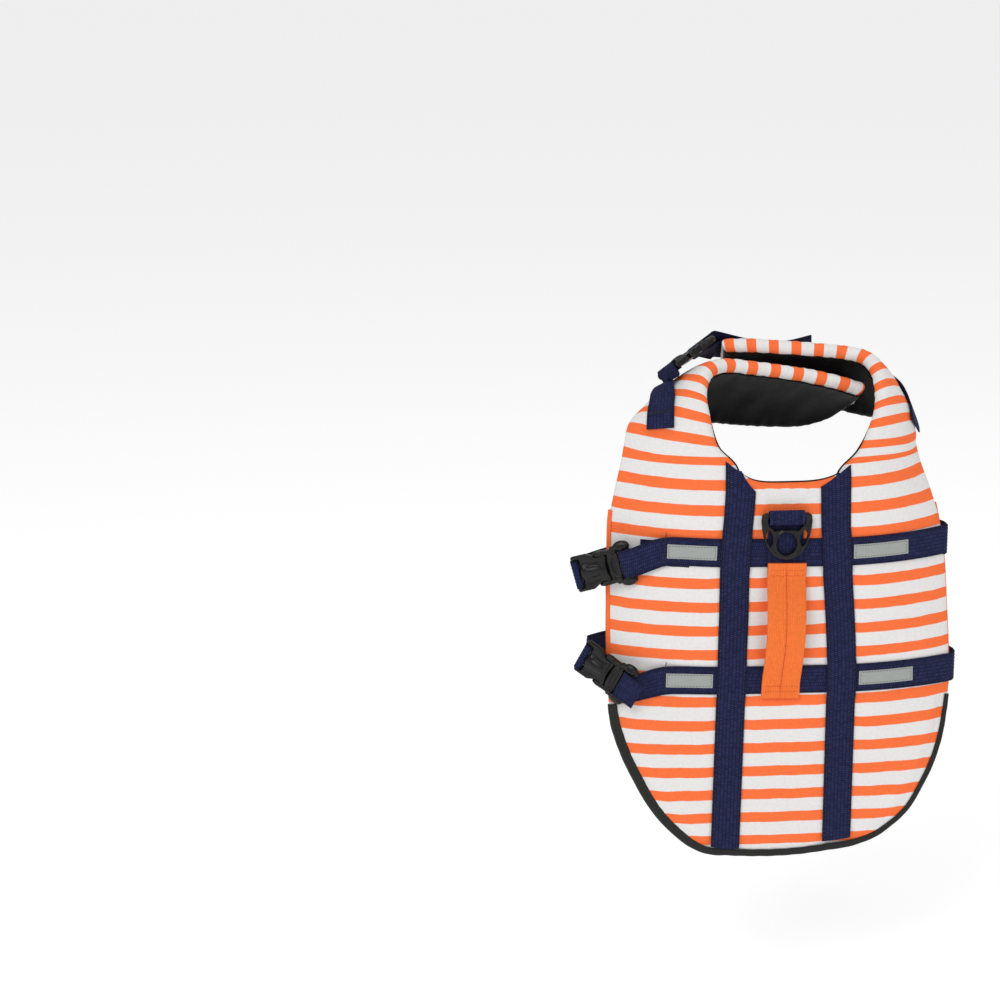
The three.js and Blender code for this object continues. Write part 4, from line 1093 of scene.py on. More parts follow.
def hem_path():
    """The bound hem, from the left edge round to the right edge: places and normals."""
    places, outs = [], []

    def take(surface_of, s, t, facing, last):
        places.append(surface_of(s, t))
        outs.append(normals_of(surface_of, s, t, facing, last))

    down, across = np.linspace(HEM_ROW, 0, 90), np.linspace(0, 1, 22)
    take(side_surface(LEFT), down, np.ones(90), 1, LAST_ROW)
    take(side_surface(LEFT), np.zeros(21), 1 - across[1:], 1, LAST_ROW)
    take(middle_points, np.zeros(21), across[1:], -1, NECK_ROW)
    take(side_surface(RIGHT), np.zeros(21), across[1:], -1, LAST_ROW)
    take(side_surface(RIGHT), down[::-1][1:], np.ones(89), -1, LAST_ROW)
    return np.concatenate(places), np.concatenate(outs)


def hem_binding():
    """The binding, folded over the hem and sewn through."""
    places, outs = hem_path()
    places, outs = densify(places, outs, 2.2, 3)
    tangent = unit(np.gradient(places, axis=0))
    across = unit(np.cross(tangent, outs))
    out = np.cross(across, tangent)
    inner = HEM_HALF + BINDING["slack"]
    outer = inner + BINDING["ply"] * 0.8
    reach = BINDING["slack"] + BINDING["ply"] * 0.8
    arm = BINDING["arm"]
    bend = np.radians(np.arange(0, 181, 20))
    fold = np.stack([reach - 2.4 + 2.4 * np.sin(bend), outer * np.cos(bend)], -1)
    end = BINDING["slack"] * 0.8
    hollow = np.array([[-arm, -inner], [end, -inner], [end, inner], [-arm, inner]])
    lips = np.array([[-arm - 0.3, outer - 0.3], [-arm + 1, outer]])
    outline = np.concatenate([lips, fold, lips[::-1] * [1, -1], hollow])
    run = run_along(places)
    wave = ripple(run, run * 0.2, 61, 17, 5)
    points, faces, cloth = swept(outline, places + across * (0.2 * wave)[:, None], across, out)
    # the fold is sewn on unevenly: less of it shows at the hem and on the right
    shown = 1.0 - 0.2 * ease(places[:, 0], -110, -50) - 0.22 * ease(places[:, 0], 40, 110)
    grid = points.reshape(len(places), len(outline), 3)
    offset = ((grid - places[:, None]) * across[:, None]).sum(-1)
    grid += across[:, None] * (np.minimum(offset, 0) * (shown[:, None] - 1))[..., None]
    points = grid.reshape(-1, 3)
    piece = add_piece("folded_hem_binding", (points, faces, cloth), "grosgrain_binding",
                      stands_for=["hem_binding"], sharp=60)
    size = chosen("stitch")
    line = places - across * ((arm - 1.4) * shown)[:, None] + out * (outer + 0.02)
    add_piece("binding_stitches", stitches(line, out, size), "black_thread")


def side_boxing():
    """Orange strips along the two side edges."""
    for side in SIDES:
        s = np.linspace(*BOXED_ROWS, 90)
        one = np.ones(90)
        places = side_points(side, s, one)
        across = normals_of(side_surface(side), s, one, side["facing"], LAST_ROW)
        out = unit(places - side_points(side, s, one * 0.96))
        wave = 0.25 * ripple(s * 30, s, 9 + side["facing"], 20)
        places = places + out * (SEAM_GAP + 0.5 + wave * 0.4)[:, None]
        outline = ROLLED_BOXING if side is LEFT else flat_outline(9.4, 0.9, 7)
        shape = swept(outline, places, across, out)
        name = side["name"]
        piece = add_piece(f"boxing_strip_{name}", shape, "boxing_polyester",
                          stands_for=[f"edge_{name}"])


def over_belts(x, z):
    """How far lengthwise webbing rises where it passes over a belt."""
    return (PLY + SEAM_GAP) * (1 - ease(belts_gap(x, z), WEBBING / 2 + 1.6, WEBBING / 2 + 8))


def lengthwise_webbing():
    """The two webbings on the seams, which rise over the belts, and their rows of stitches."""
    size = chosen("stitch")
    for name, foot_z, middle, ends in (
        ("left", -213.0, webbing_left, (134.5, 125.5, 115.5)),
        ("right", -208.0, webbing_right, (115.5, 120.5, 128.5)),
    ):
        columns = np.linspace(-WEBBING / 2, WEBBING / 2, 49)
        top = np.interp(columns, (-WEBBING / 2, 0, WEBBING / 2), ends)
        share = np.linspace(0, 1, 170)[:, None]
        z = foot_z + (top[None] - foot_z) * share
        x = middle(z) + columns[None] + 0 * z
        edge = np.abs(columns) / (WEBBING / 2)
        drop = (0.35 * ease(edge, 0.9, 1.0) + 0.13 * (1 - np.cos(columns / RIB * 2 * np.pi)))[None]
        above = SEAM_GAP + 0.15 + over_belts(x, z)
        front = back_at(x, z, above + PLY - drop)[0]
        under = back_at(x, z, above)[0]
        points, faces = slab(front, under)
        run = (z - foot_z) + 0 * x
        cloth = np.stack([run, columns[None] + 0 * z, 0 * z], -1).reshape(-1, 3)
        shape = (points, faces.tolist(), np.tile(cloth, (2, 1)))
        add_webbing(f"webbing_{name}_woven", shape, f"webbing_{name}")
        rows = []
        for place in (-WEBBING / 2 + 2.1, WEBBING / 2 - 2.1):
            k = int(np.argmin(np.abs(columns - place)))
            line = front[:, k] * 1.0
            out = unit(front[:, k] - under[:, k])
            rows.append(stitches(line, out, size, 1.3, 0.26))
        add_piece(f"webbing_stitches_{name}", joined(rows), "navy_thread")


def buckle_frame(name):
    """Where a buckle's female webbing end is, and its directions along, wide and out."""
    end, along, across = (np.array(v, float) for v in BUCKLES[name])
    along = unit(along)
    wide = unit(across - along * (across @ along))
    return end, along, wide, np.cross(along, wide)


def on_buckle(name, pairs):
    """Places given along and out of a buckle, and the direction across it."""
    end, along, wide, out = buckle_frame(name)
    places = np.array([end + along * x + out * z for x, z in pairs])
    return places, np.tile(wide, (len(pairs), 1))


def round_female_bar():
    """The webbing's way round the receiver's bar."""
    slot = FEMALE_BAR + CLEAR
    return [(-CLEAR, -FACE), (-CLEAR, FACE - CORNER), (CORNER - CLEAR, FACE), (slot - CORNER, FACE),
            (slot, FACE - CORNER), (slot, -FACE)]


def round_male_bar(side):
    """The webbing's way round the plug's bar, from one face to the other."""
    bar = MALE_SLOT + SLOT
    slot = bar - CLEAR
    return [(bar + MALE_BAR, side * FACE), (slot + CORNER, side * FACE), (slot, side * (FACE - CORNER)),
            (slot, -side * (FACE - CORNER)), (slot + CORNER, -side * FACE), (bar + MALE_BAR, -side * FACE)]


def on_belt(belt, x, above):
    """Places along a belt on the back, which leaves the padding near the buckle."""
    leaving = 0.12 * np.maximum(0, -86 - x)
    return back_at(x, belt_height(belt, x), CLEAR + leaving + above)


def front_belts():
    """The belts over the back: off the right edge, across, round the plug and sewn down."""
    for name, belt, off_edge, start, side, tail in (
        ("upper", UPPER_BELT, [(147.8, 32), (147.7, 25.5), (145.3, 19.8)], 137, 1, 50),
        ("lower", LOWER_BELT, [(157, 28), (156.8, 20), (154, 13)], 143, -1, 62),
    ):
        off = np.array([[x, y, belt_height(belt, x)] for x, y in off_edge])
        ups = np.tile([0.0, 0, 1], (3, 1))
        x = np.arange(start, -104.1, -3.0)
        body, body_up = on_belt(belt, x, 0.0)
        ends, wide = on_buckle(name, [(54, side * FACE), *round_male_bar(side), (tail, -side * FACE)])
        places, across = np.concatenate([off, body, ends]), np.concatenate([ups, body_up, wide])
        shape = ribbon(places, across, soft=(body[-1], 13))
        add_piece(f"belt_{name}_back", shape, "navy_polypropylene",
                  stands_for=[f"belt_{name}_front"])
        near = np.linspace(-99.0, -104.0, 20)
        seam_line, seam_up = on_belt(belt, near, 0.0)
        seams = cross_seam(seam_line, seam_up, 0.5)
        top = seam_line[10] + seam_up[10] * 12
        seams.append(thread_end(top, [(0, -0.9, -1.5), (-0.2, -1.2, 1), (0.3, -1.4, 3), (0.1, -1.0, 4.4)]))
        add_piece(f"belt_{name}_seam", joined(seams), "black_thread")
    # the upper belt's turned end, sewn down behind it a little lower
    x = np.linspace(-83, -122, 20)
    places, across = back_at(x, belt_height(UPPER_BELT, x) - 3.6 - 0.04 * (-83 - x), PLY / 2 - 0.7)
    add_piece("belt_upper_turned_end", ribbon(places, across, ply=1.2), "navy_polypropylene")


def cross_seam(places, across, share, rows=2, gap=1.3, half=10.8, lift=PLY / 2):
    """Rows of stitches across a ribbon, at a share of its length."""
    flat, out = directions(places, across)
    out = out * np.where((out * [0.3, -1, 0.5]).sum(-1) < 0, -1, 1)[:, None]
    tangent = unit(np.gradient(places, axis=0))
    k = int(share * (len(places) - 1))
    shapes = []
    for row in range(rows):
        base = places[k] + tangent[k] * gap * row + out[k] * lift
        ends = np.linspace(base - flat[k] * half, base + flat[k] * half, 12)
        ends = ends + tangent[k] * (0.25 * np.sin(np.arange(12) * 2.4 + row))[:, None]
        shapes.append(stitches(ends, np.tile(out[k], (12, 1)), 1.8, 0.6, 0.26))
    return shapes


def thread_end(start, points):
    """A cut end of sewing thread."""
    line = smooth_line(np.array(start) + np.array(points, float), 14)
    return round_cord(line, np.tile([0.0, -1, 0], (14, 1)), 0.34)


def smooth_line(points, count):
    """A smooth line through points, with count places spread along it."""
    points = np.asarray(points, float)
    table = np.concatenate([[2 * points[0] - points[1]], points, [2 * points[-1] - points[-2]]])
    knots = np.concatenate([[0], np.cumsum(np.sqrt(np.linalg.norm(np.diff(table, axis=0), axis=1)))])
    found = []
    for k in range(1, len(table) - 2):
        t0, t1, t2, t3 = knots[k - 1:k + 3]
        t = np.linspace(t1, t2, 40, endpoint=k == len(table) - 3)[:, None]
        p0, p1, p2, p3 = table[k - 1:k + 3]
        a1 = (t1 - t) / (t1 - t0) * p0 + (t - t0) / (t1 - t0) * p1
        a2 = (t2 - t) / (t2 - t1) * p1 + (t - t1) / (t2 - t1) * p2
        a3 = (t3 - t) / (t3 - t2) * p2 + (t - t2) / (t3 - t2) * p3
        b1 = (t2 - t) / (t2 - t0) * a1 + (t - t0) / (t2 - t0) * a2
        b2 = (t3 - t) / (t3 - t1) * a2 + (t - t1) / (t3 - t1) * a3
        found.append((t2 - t) / (t2 - t1) * b1 + (t - t1) / (t2 - t1) * b2)
    line = np.concatenate(found)
    run = run_along(line)
    even = np.linspace(0, run[-1], count)
    return np.stack([np.interp(even, run, line[:, k]) for k in range(3)], -1)


def rear_belts():
    """The belts under the belly, from the right edge to the receivers."""
    for name, belt, lead in (
        ("upper", UPPER_BELT, [(146.5, 40), (147.8, 32.6)]),
        ("lower", LOWER_BELT, [(154, 38), (157, 28.6)]),
    ):
        ends, wide = on_buckle(name, round_female_bar())
        near = ends[0]

        def height(x, near=near, belt=belt):
            return near[2] + (belt[1] - near[2]) * (x - near[0]) / (150 - near[0])

        way = [near + [3.5, 9, 0]] + [np.array([x, y, height(x)]) for x, y in [*REAR_CURVE, *lead]]
        line = smooth_line(way[::-1], 160)
        places = np.concatenate([line, ends])
        across = np.concatenate([np.tile([0.0, 0, 1], (160, 1)), wide])
        add_webbing(f"belt_{name}_belly", ribbon(places, across, step=1.6), f"belt_{name}_rear")


def reflective_tapes():
    """The four tapes, each sewn on the belt along its border."""
    for name, belt, low, high in TAPES:
        x = np.linspace(high, low, 30)
        lift = PLY / 2 + SEAM_GAP + 0.3
        places, across = on_belt(belt, x, lift)
        shape = ribbon(places, across, TAPE_WIDTH, TAPE_PLY, step=1.5, rounds=1, columns=9, relief=0.0)
        add_piece(f"reflective_{name}", shape, "reflective_tape",
                  stands_for=[f"tape_{name}"])
        flat, out = directions(places, across)
        out = out * -np.sign(out[:, 1:2])
        inset, raised = 1.3, 0.28
        half = TAPE_WIDTH / 2 - inset
        keep = slice(1, -1)
        top = places[keep] + flat[keep] * half + out[keep] * raised
        foot_row = places[keep] - flat[keep] * half + out[keep] * raised
        rows = [stitches(line, out[keep], 1.7, 1.0, 0.24) for line in (top, foot_row)]
        for k in (1, -2):
            ends = np.linspace(places[k] - flat[k] * half, places[k] + flat[k] * half, 6) + out[k] * raised
            rows.append(stitches(ends, np.tile(out[k], (6, 1)), 1.7, 1.0, 0.24))
        add_piece(f"tape_stitches_{name}", joined(rows), "grey_thread")


def leash_strap():
    """The webbing that holds the leash ring: up the back, round the bar and down in front."""
    radius = LOOP_HOLE + PLY / 2
    z = np.linspace(STRAP_FOOT, RING_Z, 30)
    rise = np.stack([0 * z + STRAP_MIDDLE, 0 * z + STRAP_BACK - PLY / 2 + 0.02, z], -1)
    turn = np.radians(np.arange(20, 271, 12))
    drop = 4.4 * (turn >= np.pi)
    forward, height = RING_Y + radius * np.cos(turn), RING_Z + radius * np.sin(turn) - drop
    loop = np.stack([0 * turn + STRAP_MIDDLE, forward, height], -1)
    end = np.array([[STRAP_MIDDLE, STRAP_BACK - PLY * 1.45, RING_Z - radius - 4.8]])
    places = np.concatenate([rise, loop, end])
    across = np.tile([1.0, 0, 0], (len(places), 1))
    shape = ribbon(places, across, STRAP_WIDTH, step=0.8, rounds=1, columns=49)
    add_webbing("leash_strap_woven", shape, "leash_strap")


def handle_line():
    """The handle's middle: sewn flat at both ends and bowed between them."""
    k = np.linspace(0, 1, 90)
    z = HANDLE_TOP + (HANDLE_FOOT - HANDLE_TOP) * k
    free = (HANDLE_TOP - HANDLE_FOOT) / 2 - HANDLE_SEWN
    share = np.minimum(1, np.abs(z - (HANDLE_TOP + HANDLE_FOOT) / 2) / free)
    bow = HANDLE_RISE * (1 - share**2) ** 1.4
    top = STRAP_BACK - PLY - SEAM_GAP - HANDLE_PLY / 2
    y = top + (STRAP_BACK - HANDLE_PLY / 2 - top) * ease(k, 0.1, 0.9)
    return np.stack([-1 - 3 * k, y - bow, z], -1)


def lifting_handle():
    """The handle with its sewn middle groove and its cross seams."""
    places = handle_line()
    across = np.tile([1.0, 0, 0], (90, 1))
    places, across = densify(places, across, 1.2, 1)
    flat, out = directions(places, across)
    count = 23
    columns = np.linspace(-HANDLE_WIDTH / 2 + 0.5, HANDLE_WIDTH / 2 - 0.5, count)
    groove = 0.8 * np.exp(-((columns / 0.9) ** 2))
    edge = 0.35 * ease(np.abs(columns), HANDLE_WIDTH / 2 - 3, HANDLE_WIDTH / 2)
    top = np.stack([columns, HANDLE_PLY / 2 - groove - edge], -1)
    tip = np.array([[HANDLE_WIDTH / 2, 0.5], [HANDLE_WIDTH / 2, -0.5]])
    outline = np.concatenate([top, tip, top[::-1] * [1, -1], -tip])[::-1]
    shape = swept(outline, places, flat, out)
    add_piece("handle_webbing", shape, "handle_webbing", stands_for=["handle"])
    out = out * -np.sign(out[:, 1:2])
    raised = places + out * (HANDLE_PLY / 2 - 0.5)
    rows = [stitches(raised[6:-6], out[6:-6], 2.2, 0.7, 0.28)]
    surface_line = places + out * (HANDLE_PLY / 2 - 0.02)
    for k in (5, 9, len(places) - 10, len(places) - 6):
        ends = np.linspace(surface_line[k] - flat[k] * 14.8, surface_line[k] + flat[k] * 14.8, 12)
        ends[:, 2] += 0.5 * np.sin(np.arange(12) * 2.1 + k)
        rows.append(stitches(ends, np.tile(out[k], (12, 1)), 1.9, 0.7, 0.26))
    add_piece("handle_stitches", joined(rows), "orange_thread")


def on_wing(side, s, t, above):
    """Places over a wing's outer face, and the direction across it."""
    out = normals_of(side_surface(side), s, t, side["facing"], LAST_ROW)
    across = unit(side_points(side, s, t + 0.02) - side_points(side, s, t - 0.02))
    return side_points(side, s, t) + out * (HALF + above)[..., None], across


def neck_straps():
    """The left strap to the receiver, and the right strap round the wing to the plug, with its tail."""
    s = np.linspace(10.6, 12.05, 24)
    places, across = on_wing(LEFT, s, 0.55 - 0.03 * (s - 10), CLEAR + STAND_OFF + 0.4 * (s - 10))
    ends, wide = on_buckle("neck", [(-CLEAR - 0.6, -FACE - 3.5), *round_female_bar()])
    bridge = np.array([[-103.5, 49.5, 191.5]])
    all_places = np.concatenate([places, bridge, ends])
    all_across = np.concatenate([across, unit(np.array([[-0.6, 0.55, -0.5]])), wide])
    shape = ribbon(all_places, all_across, soft=((places[-1] + bridge[0]) / 2, 9))
    add_webbing("neck_strap_left_woven", shape, "neck_strap_left")
    tack = cross_seam(places, across, 0.42, 3, 0.9)
    corner = places[8] + across[8] * 9
    tack.append(thread_end(corner, [(0, -1.2, 0), (0.6, -1.8, -3), (-0.4, -2.0, -6), (0.8, -1.6, -8.5)]))
    add_piece("neck_strap_tack", joined(tack), "black_thread")
    k = np.linspace(0, 1, 110)
    s = 11.2 + 9.6 * k
    places, across = on_wing(RIGHT, s, 0.72 - 0.38 * k, CLEAR + STAND_OFF + np.maximum(0, s - 20))
    ends, wide = on_buckle("neck", [(51, -FACE - 0.4), *round_male_bar(-1), (55, FACE)])
    free_end = [(-22, 110, 209.5), (0, 113.5, 205.5), (20, 117, 206), (41, 118, 210.5)]
    tail = smooth_line([ends[-1], *free_end], 40)[1:]
    tail_across = np.tile(unit(np.array([0.1, 0.63, -0.77])), (39, 1))
    all_places = np.concatenate([places, ends, tail])
    all_across = np.concatenate([across, wide, tail_across])
    add_webbing("neck_strap_right_woven", ribbon(all_places, all_across), "neck_strap_right")


def moulded(name, node, body, axes, sculpt, lumps=(), size=0.45):
    """A moulded plastic part: the solid with rounded swellings melted in, softened, then shaped."""
    origin, along, wide, out = axes
    turn = np.stack([along, wide, out])
    mesh = NODES[node].data.copy()
    shell = bmesh.new()
    shell.from_mesh(mesh)
    for centre, radii in lumps:
        ball = bmesh.ops.create_icosphere(shell, subdivisions=3, radius=1)
        for corner in ball["verts"]:
            local = np.array(corner.co) * radii + centre
            corner.co = ((local @ turn + origin) * MM).tolist()
    shell.to_mesh(mesh)
    shell.free()
    piece = bpy.data.objects.new(name, mesh)
    bpy.context.scene.collection.objects.link(piece)
    remesh = piece.modifiers.new("Voxels", "REMESH")
    remesh.mode = "VOXEL"
    remesh.voxel_size = size * MM
    soften = piece.modifiers.new("Soften", "SMOOTH")
    soften.factor, soften.iterations = 0.5, 3
    made = bpy.data.meshes.new_from_object(piece.evaluated_get(bpy.context.evaluated_depsgraph_get()))
    piece.modifiers.clear()
    points = np.zeros(len(made.vertices) * 3)
    made.vertices.foreach_get("co", points)
    local = (points.reshape(-1, 3) / MM - origin) @ turn.T
    local = sculpt(local)
    made.vertices.foreach_set("co", ((local @ turn + origin) * MM).ravel())
    piece.data = made
    made.name = name
    attribute = made.attributes.new("cloth", "FLOAT_VECTOR", "POINT")
    attribute.data.foreach_set("vector", (local * MM).astype(np.float32).ravel())
    made.materials.clear()
    made.materials.append(finish("moulded_acetal"))
    made.shade_smooth()
    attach(piece, body)
    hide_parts(node)
    return piece


FEMALE_LUMPS = [
    ((15.5, 0, 2.7), (10.5, 5.2, 3.4)),
    ((9.5, 0, 2.2), (5.0, 8.0, 3.2)),
    *[((7.4, y, 0.2), (2.6, 2.4, 3.0)) for y in (-12, -9.5, 9.5, 12)],
    *[((x, side * 14.3, 0), (2.6, 2.0, 4.1)) for x in (1.6, 4, 6.5, 9, 12) for side in (-1, 1)],
    *[((29.0 - 0.008 * y**2, y, 0.2), (2.1, 1.9, 4.4)) for y in np.linspace(-14, 14, 15)],
    *[((17.5, side * 9.6, 0.2), (6.0, 2.4, 3.9)) for side in (-1, 1)],
]
MALE_LUMPS = [
    *[((33.4 + 4.2 * (y / 13) ** 2, y, 0.6), (1.7, 1.8, 4.4)) for y in np.linspace(-13, 13, 15)],
    *[((31.2, y, -0.7), (2.5, 1.7, 2.6)) for y in np.linspace(-10, 10, 11)],
    *[((x, side * 14.8, 0), (2.4, 2.3, 3.9)) for x in (36, 38, 40) for side in (-1, 1)],
    *[((44.5, side * 15.4, 0), (7.6, 5.0, 3.8)) for side in (-1, 1)],
    *[((21.5, side * 13.6, 0), (3.0, 2.1, 3.1)) for side in (-1, 1)],
]


def female_shape(p):
    """The receiver: crowned, with a raised tapering tongue and a thicker mouth."""
    x, y, z = p.T
    crown = 1 - 0.2 * (y / 15.6) ** 2
    beside = np.exp(-(((np.abs(y) - 8.6) / 2.2) ** 2)) * ease(x, 7, 10) * (1 - ease(x, 20, 25))
    hollow = 2.3 * (1 - np.clip(y / 14, -1, 1) ** 2) * ease(x, 22, 30)
    return np.stack([x - hollow, y, z * crown * (1 - 0.2 * beside)], -1)


def male_shape(p):
    """The plug: rounded prongs, a dished middle and flared ears beside the webbing slot."""
    x, y, z = p.T
    middle = 1 - ease(np.abs(y), 8, 12.5)
    dish = middle * np.exp(-(((x - 35.9) / 2.0) ** 2))
    bow = 2.3 * (1 - np.clip(y / 14, -1, 1) ** 2) * ease(x, 24, 31) * (1 - ease(x, 31.8, 37))
    prong = ease(np.abs(y), 10.8, 12) * (1 - ease(x, 30, 34))
    ear = ease(np.abs(y), 13.5, 17.5) * ease(x, 39, 43)
    scale = 1 - 0.12 * prong - 0.12 * ear - 0.5 * dish
    # the wall of the webbing's slot comes close to the webbing
    wall = ease(x, 37.2, 38.2) * (1 - ease(x, 38.9, 39.4)) * (1 - ease(np.abs(y), 12.6, 13.4))
    return np.stack([x + 1.3 * wall - bow, y, z * scale], -1)


def ring_shape(p):
    """The ring: raised rims round the hole and the outline, and thinner webs between."""
    x, z, y = p.T
    hole = np.sqrt((x / 8.7) ** 2 + ((z + 25) / 10.2) ** 2)
    rim = ease(hole, 0.9, 1.02) * (1 - ease(hole, 1.12, 1.26))
    outline = ease(np.abs(x) + 0.32 * (-z), 20.6, 22.4)
    low = ease(-z, 31, 34)
    web = 1 - np.clip(rim + outline + low * 0.6 + ease(z, -3.5, -2), 0, 1)
    return np.stack([x, z, y * (1.08 * (1 - web) + 0.72 * web)], -1)


def buckles():
    """The three buckles, each of a receiver and a plug."""
    for name in BUCKLES:
        axes = buckle_frame(name)
        moulded(f"{name}_buckle_receiver", f"buckle_{name}_female", "jacket", axes, female_shape,
                FEMALE_LUMPS)
        moulded(f"{name}_buckle_plug", f"buckle_{name}_male", "jacket", axes, male_shape, MALE_LUMPS)


def leash_ring():
    """The ring in its strap, the one piece that moves."""
    axes = (np.array([STRAP_MIDDLE, RING_Y, RING_Z]), np.array([1.0, 0, 0]), np.array([0, 0, 1.0]),
            np.array([0, -1.0, 0]))
    moulded("leash_ring_moulded", "leash_ring", "leash_ring", axes, ring_shape, size=0.4)


def linings():
    """The three linings, each stretched over the back of its panel."""
    for side in SIDES:
        side_lining(side)
    middle_lining()


def stage():
    """A pale floor, soft light from above and in front, and the camera at the photograph's angle."""
    scene = bpy.context.scene
    mesh = bpy.data.meshes.new("studio_floor")
    signs = ((-1, -1), (1, -1), (1, 1), (-1, 1))
    corners = [(x * FLOOR_HALF, y * FLOOR_HALF, FLOOR_HEIGHT) for x, y in signs]
    mesh.from_pydata(corners, [], [(0, 1, 2, 3)])
    floor = bpy.data.objects.new("studio_floor", mesh)
    scene.collection.objects.link(floor)
    paint = bpy.data.materials.new("pale_floor")
    paint.use_nodes = True
    paint.node_tree.nodes.clear()
    surface(paint.node_tree, Base_Color=rgba(linear("F4F4F4")), Roughness=0.9, Specular_IOR_Level=0.1,
            Emission_Color=(1, 1, 1, 1), Emission_Strength=0.4)
    mesh.materials.append(paint)
    for name, place, size, power in LIGHTS:
        light = bpy.data.lights.new(name, "AREA")
        light.energy, light.size = power, size
        lamp = bpy.data.objects.new(name, light)
        scene.collection.objects.link(lamp)
        lamp.location = place
        lamp.rotation_mode = "QUATERNION"
        lamp.rotation_quaternion = (Vector((0, 0, 0)) - Vector(place)).to_track_quat("-Z", "Y")
    world = bpy.data.worlds.new("studio")
    world.use_nodes = True
    world.node_tree.nodes["Background"].inputs["Color"].default_value = (1, 1, 1, 1)
    world.node_tree.nodes["Background"].inputs["Strength"].default_value = 0.5
    scene.world = world
    scene.view_settings.view_transform = "Standard"
    camera = bpy.data.cameras.new("photo_camera")
    camera.lens, camera.sensor_width = CAMERA_LENS, CAMERA_SENSOR
    viewer = bpy.data.objects.new("photo_camera", camera)
    scene.collection.objects.link(viewer)
    viewer.location = CAMERA_PLACE
    yaw, drop = math.radians(CAMERA_YAW), math.radians(CAMERA_DROP)
    look = Vector((math.sin(yaw) * math.cos(drop), math.cos(yaw) * math.cos(drop), -math.sin(drop)))
    viewer.rotation_mode = "QUATERNION"
    viewer.rotation_quaternion = look.to_track_quat("-Z", "Y")
    scene.camera = viewer


class LIFEJACKET_OT_panels(bpy.types.Operator):
    """Adds the three padded panels in striped cloth"""

    bl_idname = "life_jacket.panels"
    bl_label = "Striped panels"

    def execute(self, context):
        side_panel(LEFT)
        side_panel(RIGHT)
        middle_panel()
        return {"FINISHED"}


class LIFEJACKET_OT_linings(bpy.types.Operator):
    """Adds the linings of the three panels"""

    bl_idname = "life_jacket.linings"
    bl_label = "Satin linings"

    def execute(self, context):
        linings()
        return {"FINISHED"}


class LIFEJACKET_OT_binding(bpy.types.Operator):
    """Adds the folded binding round the hem"""

    bl_idname = "life_jacket.binding"
    bl_label = "Hem binding"

    def execute(self, context):
        hem_binding()
        return {"FINISHED"}


class LIFEJACKET_OT_boxing(bpy.types.Operator):
    """Adds the orange strips along the side edges"""

    bl_idname = "life_jacket.boxing"
    bl_label = "Side boxing"

    def execute(self, context):
        side_boxing()
        return {"FINISHED"}


class LIFEJACKET_OT_webbing(bpy.types.Operator):
    """Adds the two webbings down the seams"""

    bl_idname = "life_jacket.webbing"
    bl_label = "Lengthwise webbing"

    def execute(self, context):
        lengthwise_webbing()
        return {"FINISHED"}


class LIFEJACKET_OT_belts(bpy.types.Operator):
    """Adds the two belts that close under the belly"""

    bl_idname = "life_jacket.belts"
    bl_label = "Belly belts"

    def execute(self, context):
        front_belts()
        rear_belts()
        return {"FINISHED"}


class LIFEJACKET_OT_tapes(bpy.types.Operator):
    """Adds the four reflective tapes on the belts"""

    bl_idname = "life_jacket.tapes"
    bl_label = "Reflective tapes"

    def execute(self, context):
        reflective_tapes()
        return {"FINISHED"}


class LIFEJACKET_OT_neck_straps(bpy.types.Operator):
    """Adds the webbing that closes round the throat"""

    bl_idname = "life_jacket.neck_straps"
    bl_label = "Neck straps"

    def execute(self, context):
        neck_straps()
        return {"FINISHED"}


class LIFEJACKET_OT_strap(bpy.types.Operator):
    """Adds the strap that holds the leash ring"""

    bl_idname = "life_jacket.strap"
    bl_label = "Leash strap"

    def execute(self, context):
        leash_strap()
        return {"FINISHED"}


class LIFEJACKET_OT_handle(bpy.types.Operator):
    """Adds the handle with its seams"""

    bl_idname = "life_jacket.handle"
    bl_label = "Lifting handle"

    def execute(self, context):
        lifting_handle()
        return {"FINISHED"}


class LIFEJACKET_OT_buckles(bpy.types.Operator):
    """Adds the three buckles"""

    bl_idname = "life_jacket.buckles"
    bl_label = "Side-release buckles"

    def execute(self, context):
        buckles()
        return {"FINISHED"}


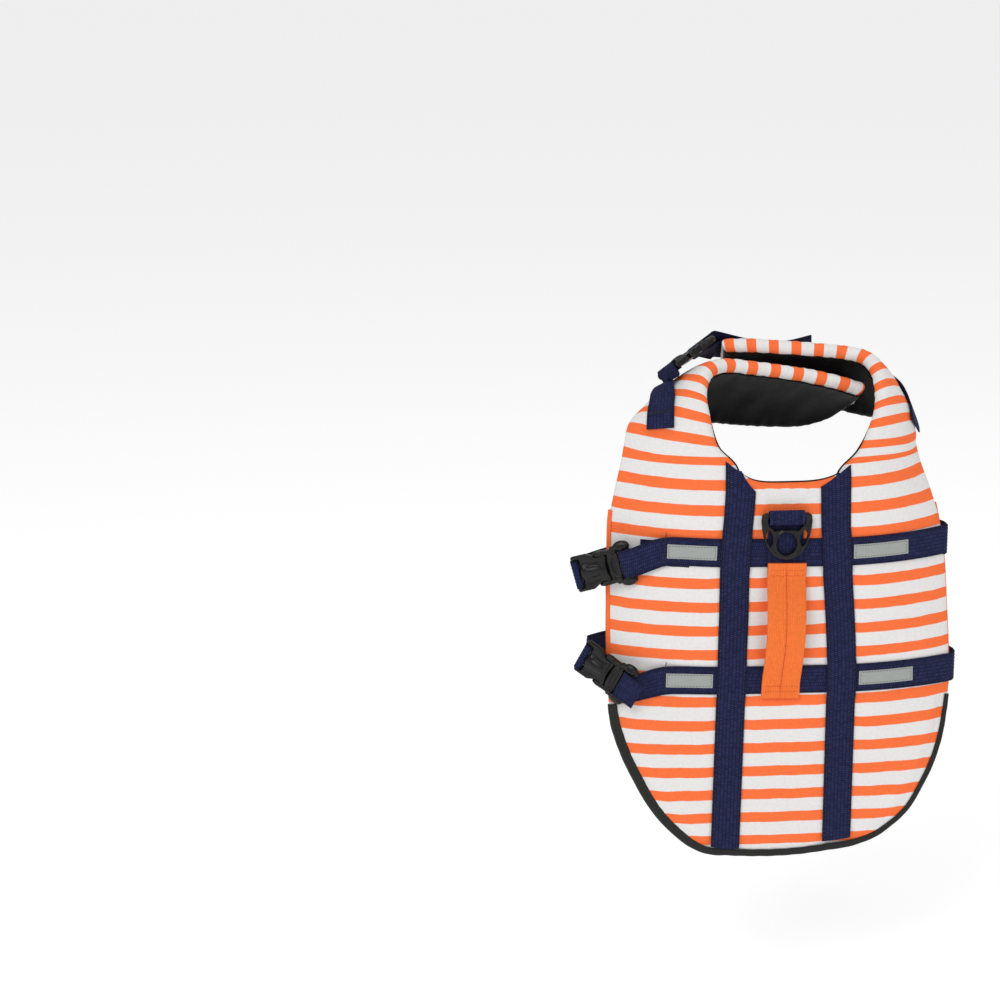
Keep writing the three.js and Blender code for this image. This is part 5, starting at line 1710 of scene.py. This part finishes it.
class LIFEJACKET_OT_ring(bpy.types.Operator):
    """Adds the moulded ring"""

    bl_idname = "life_jacket.ring"
    bl_label = "Leash ring"

    def execute(self, context):
        leash_ring()
        return {"FINISHED"}


class LIFEJACKET_OT_stage(bpy.types.Operator):
    """Adds the floor, the lights and the camera"""

    bl_idname = "life_jacket.stage"
    bl_label = "Stage"

    def execute(self, context):
        stage()
        return {"FINISHED"}


OPERATORS = (
    LIFEJACKET_OT_panels,
    LIFEJACKET_OT_linings,
    LIFEJACKET_OT_binding,
    LIFEJACKET_OT_boxing,
    LIFEJACKET_OT_webbing,
    LIFEJACKET_OT_belts,
    LIFEJACKET_OT_tapes,
    LIFEJACKET_OT_neck_straps,
    LIFEJACKET_OT_strap,
    LIFEJACKET_OT_handle,
    LIFEJACKET_OT_buckles,
    LIFEJACKET_OT_ring,
    LIFEJACKET_OT_stage,
)


class LIFEJACKET_PT_sidebar(bpy.types.Panel):
    """Lists the pieces, sizes and colours of the life jacket."""

    bl_idname = "LIFEJACKET_PT_sidebar"
    bl_label = "Life jacket"
    bl_space_type = "VIEW_3D"
    bl_region_type = "UI"
    bl_category = "Life jacket"

    def draw(self, context):
        for group in (context.scene.life_jacket_sizes, context.scene.life_jacket_colours):
            box = self.layout.box()
            for name in group.__annotations__:
                box.prop(group, name)
        for made in OPERATORS:
            self.layout.operator(made.bl_idname)


CLASSES = (JacketSizes, JacketColours, *OPERATORS, LIFEJACKET_PT_sidebar)


def register():
    """Makes the classes and their properties known."""
    for made in CLASSES:
        bpy.utils.register_class(made)
    bpy.types.Scene.life_jacket_sizes = bpy.props.PointerProperty(type=JacketSizes)
    bpy.types.Scene.life_jacket_colours = bpy.props.PointerProperty(type=JacketColours)


def unregister():
    """Takes them back."""
    del bpy.types.Scene.life_jacket_colours
    del bpy.types.Scene.life_jacket_sizes
    for made in reversed(CLASSES):
        bpy.utils.unregister_class(made)


def main():
    register()
    for made in OPERATORS:
        getattr(bpy.ops.life_jacket, made.bl_idname.split(".")[1])()


if __name__ == "__main__":
    main()
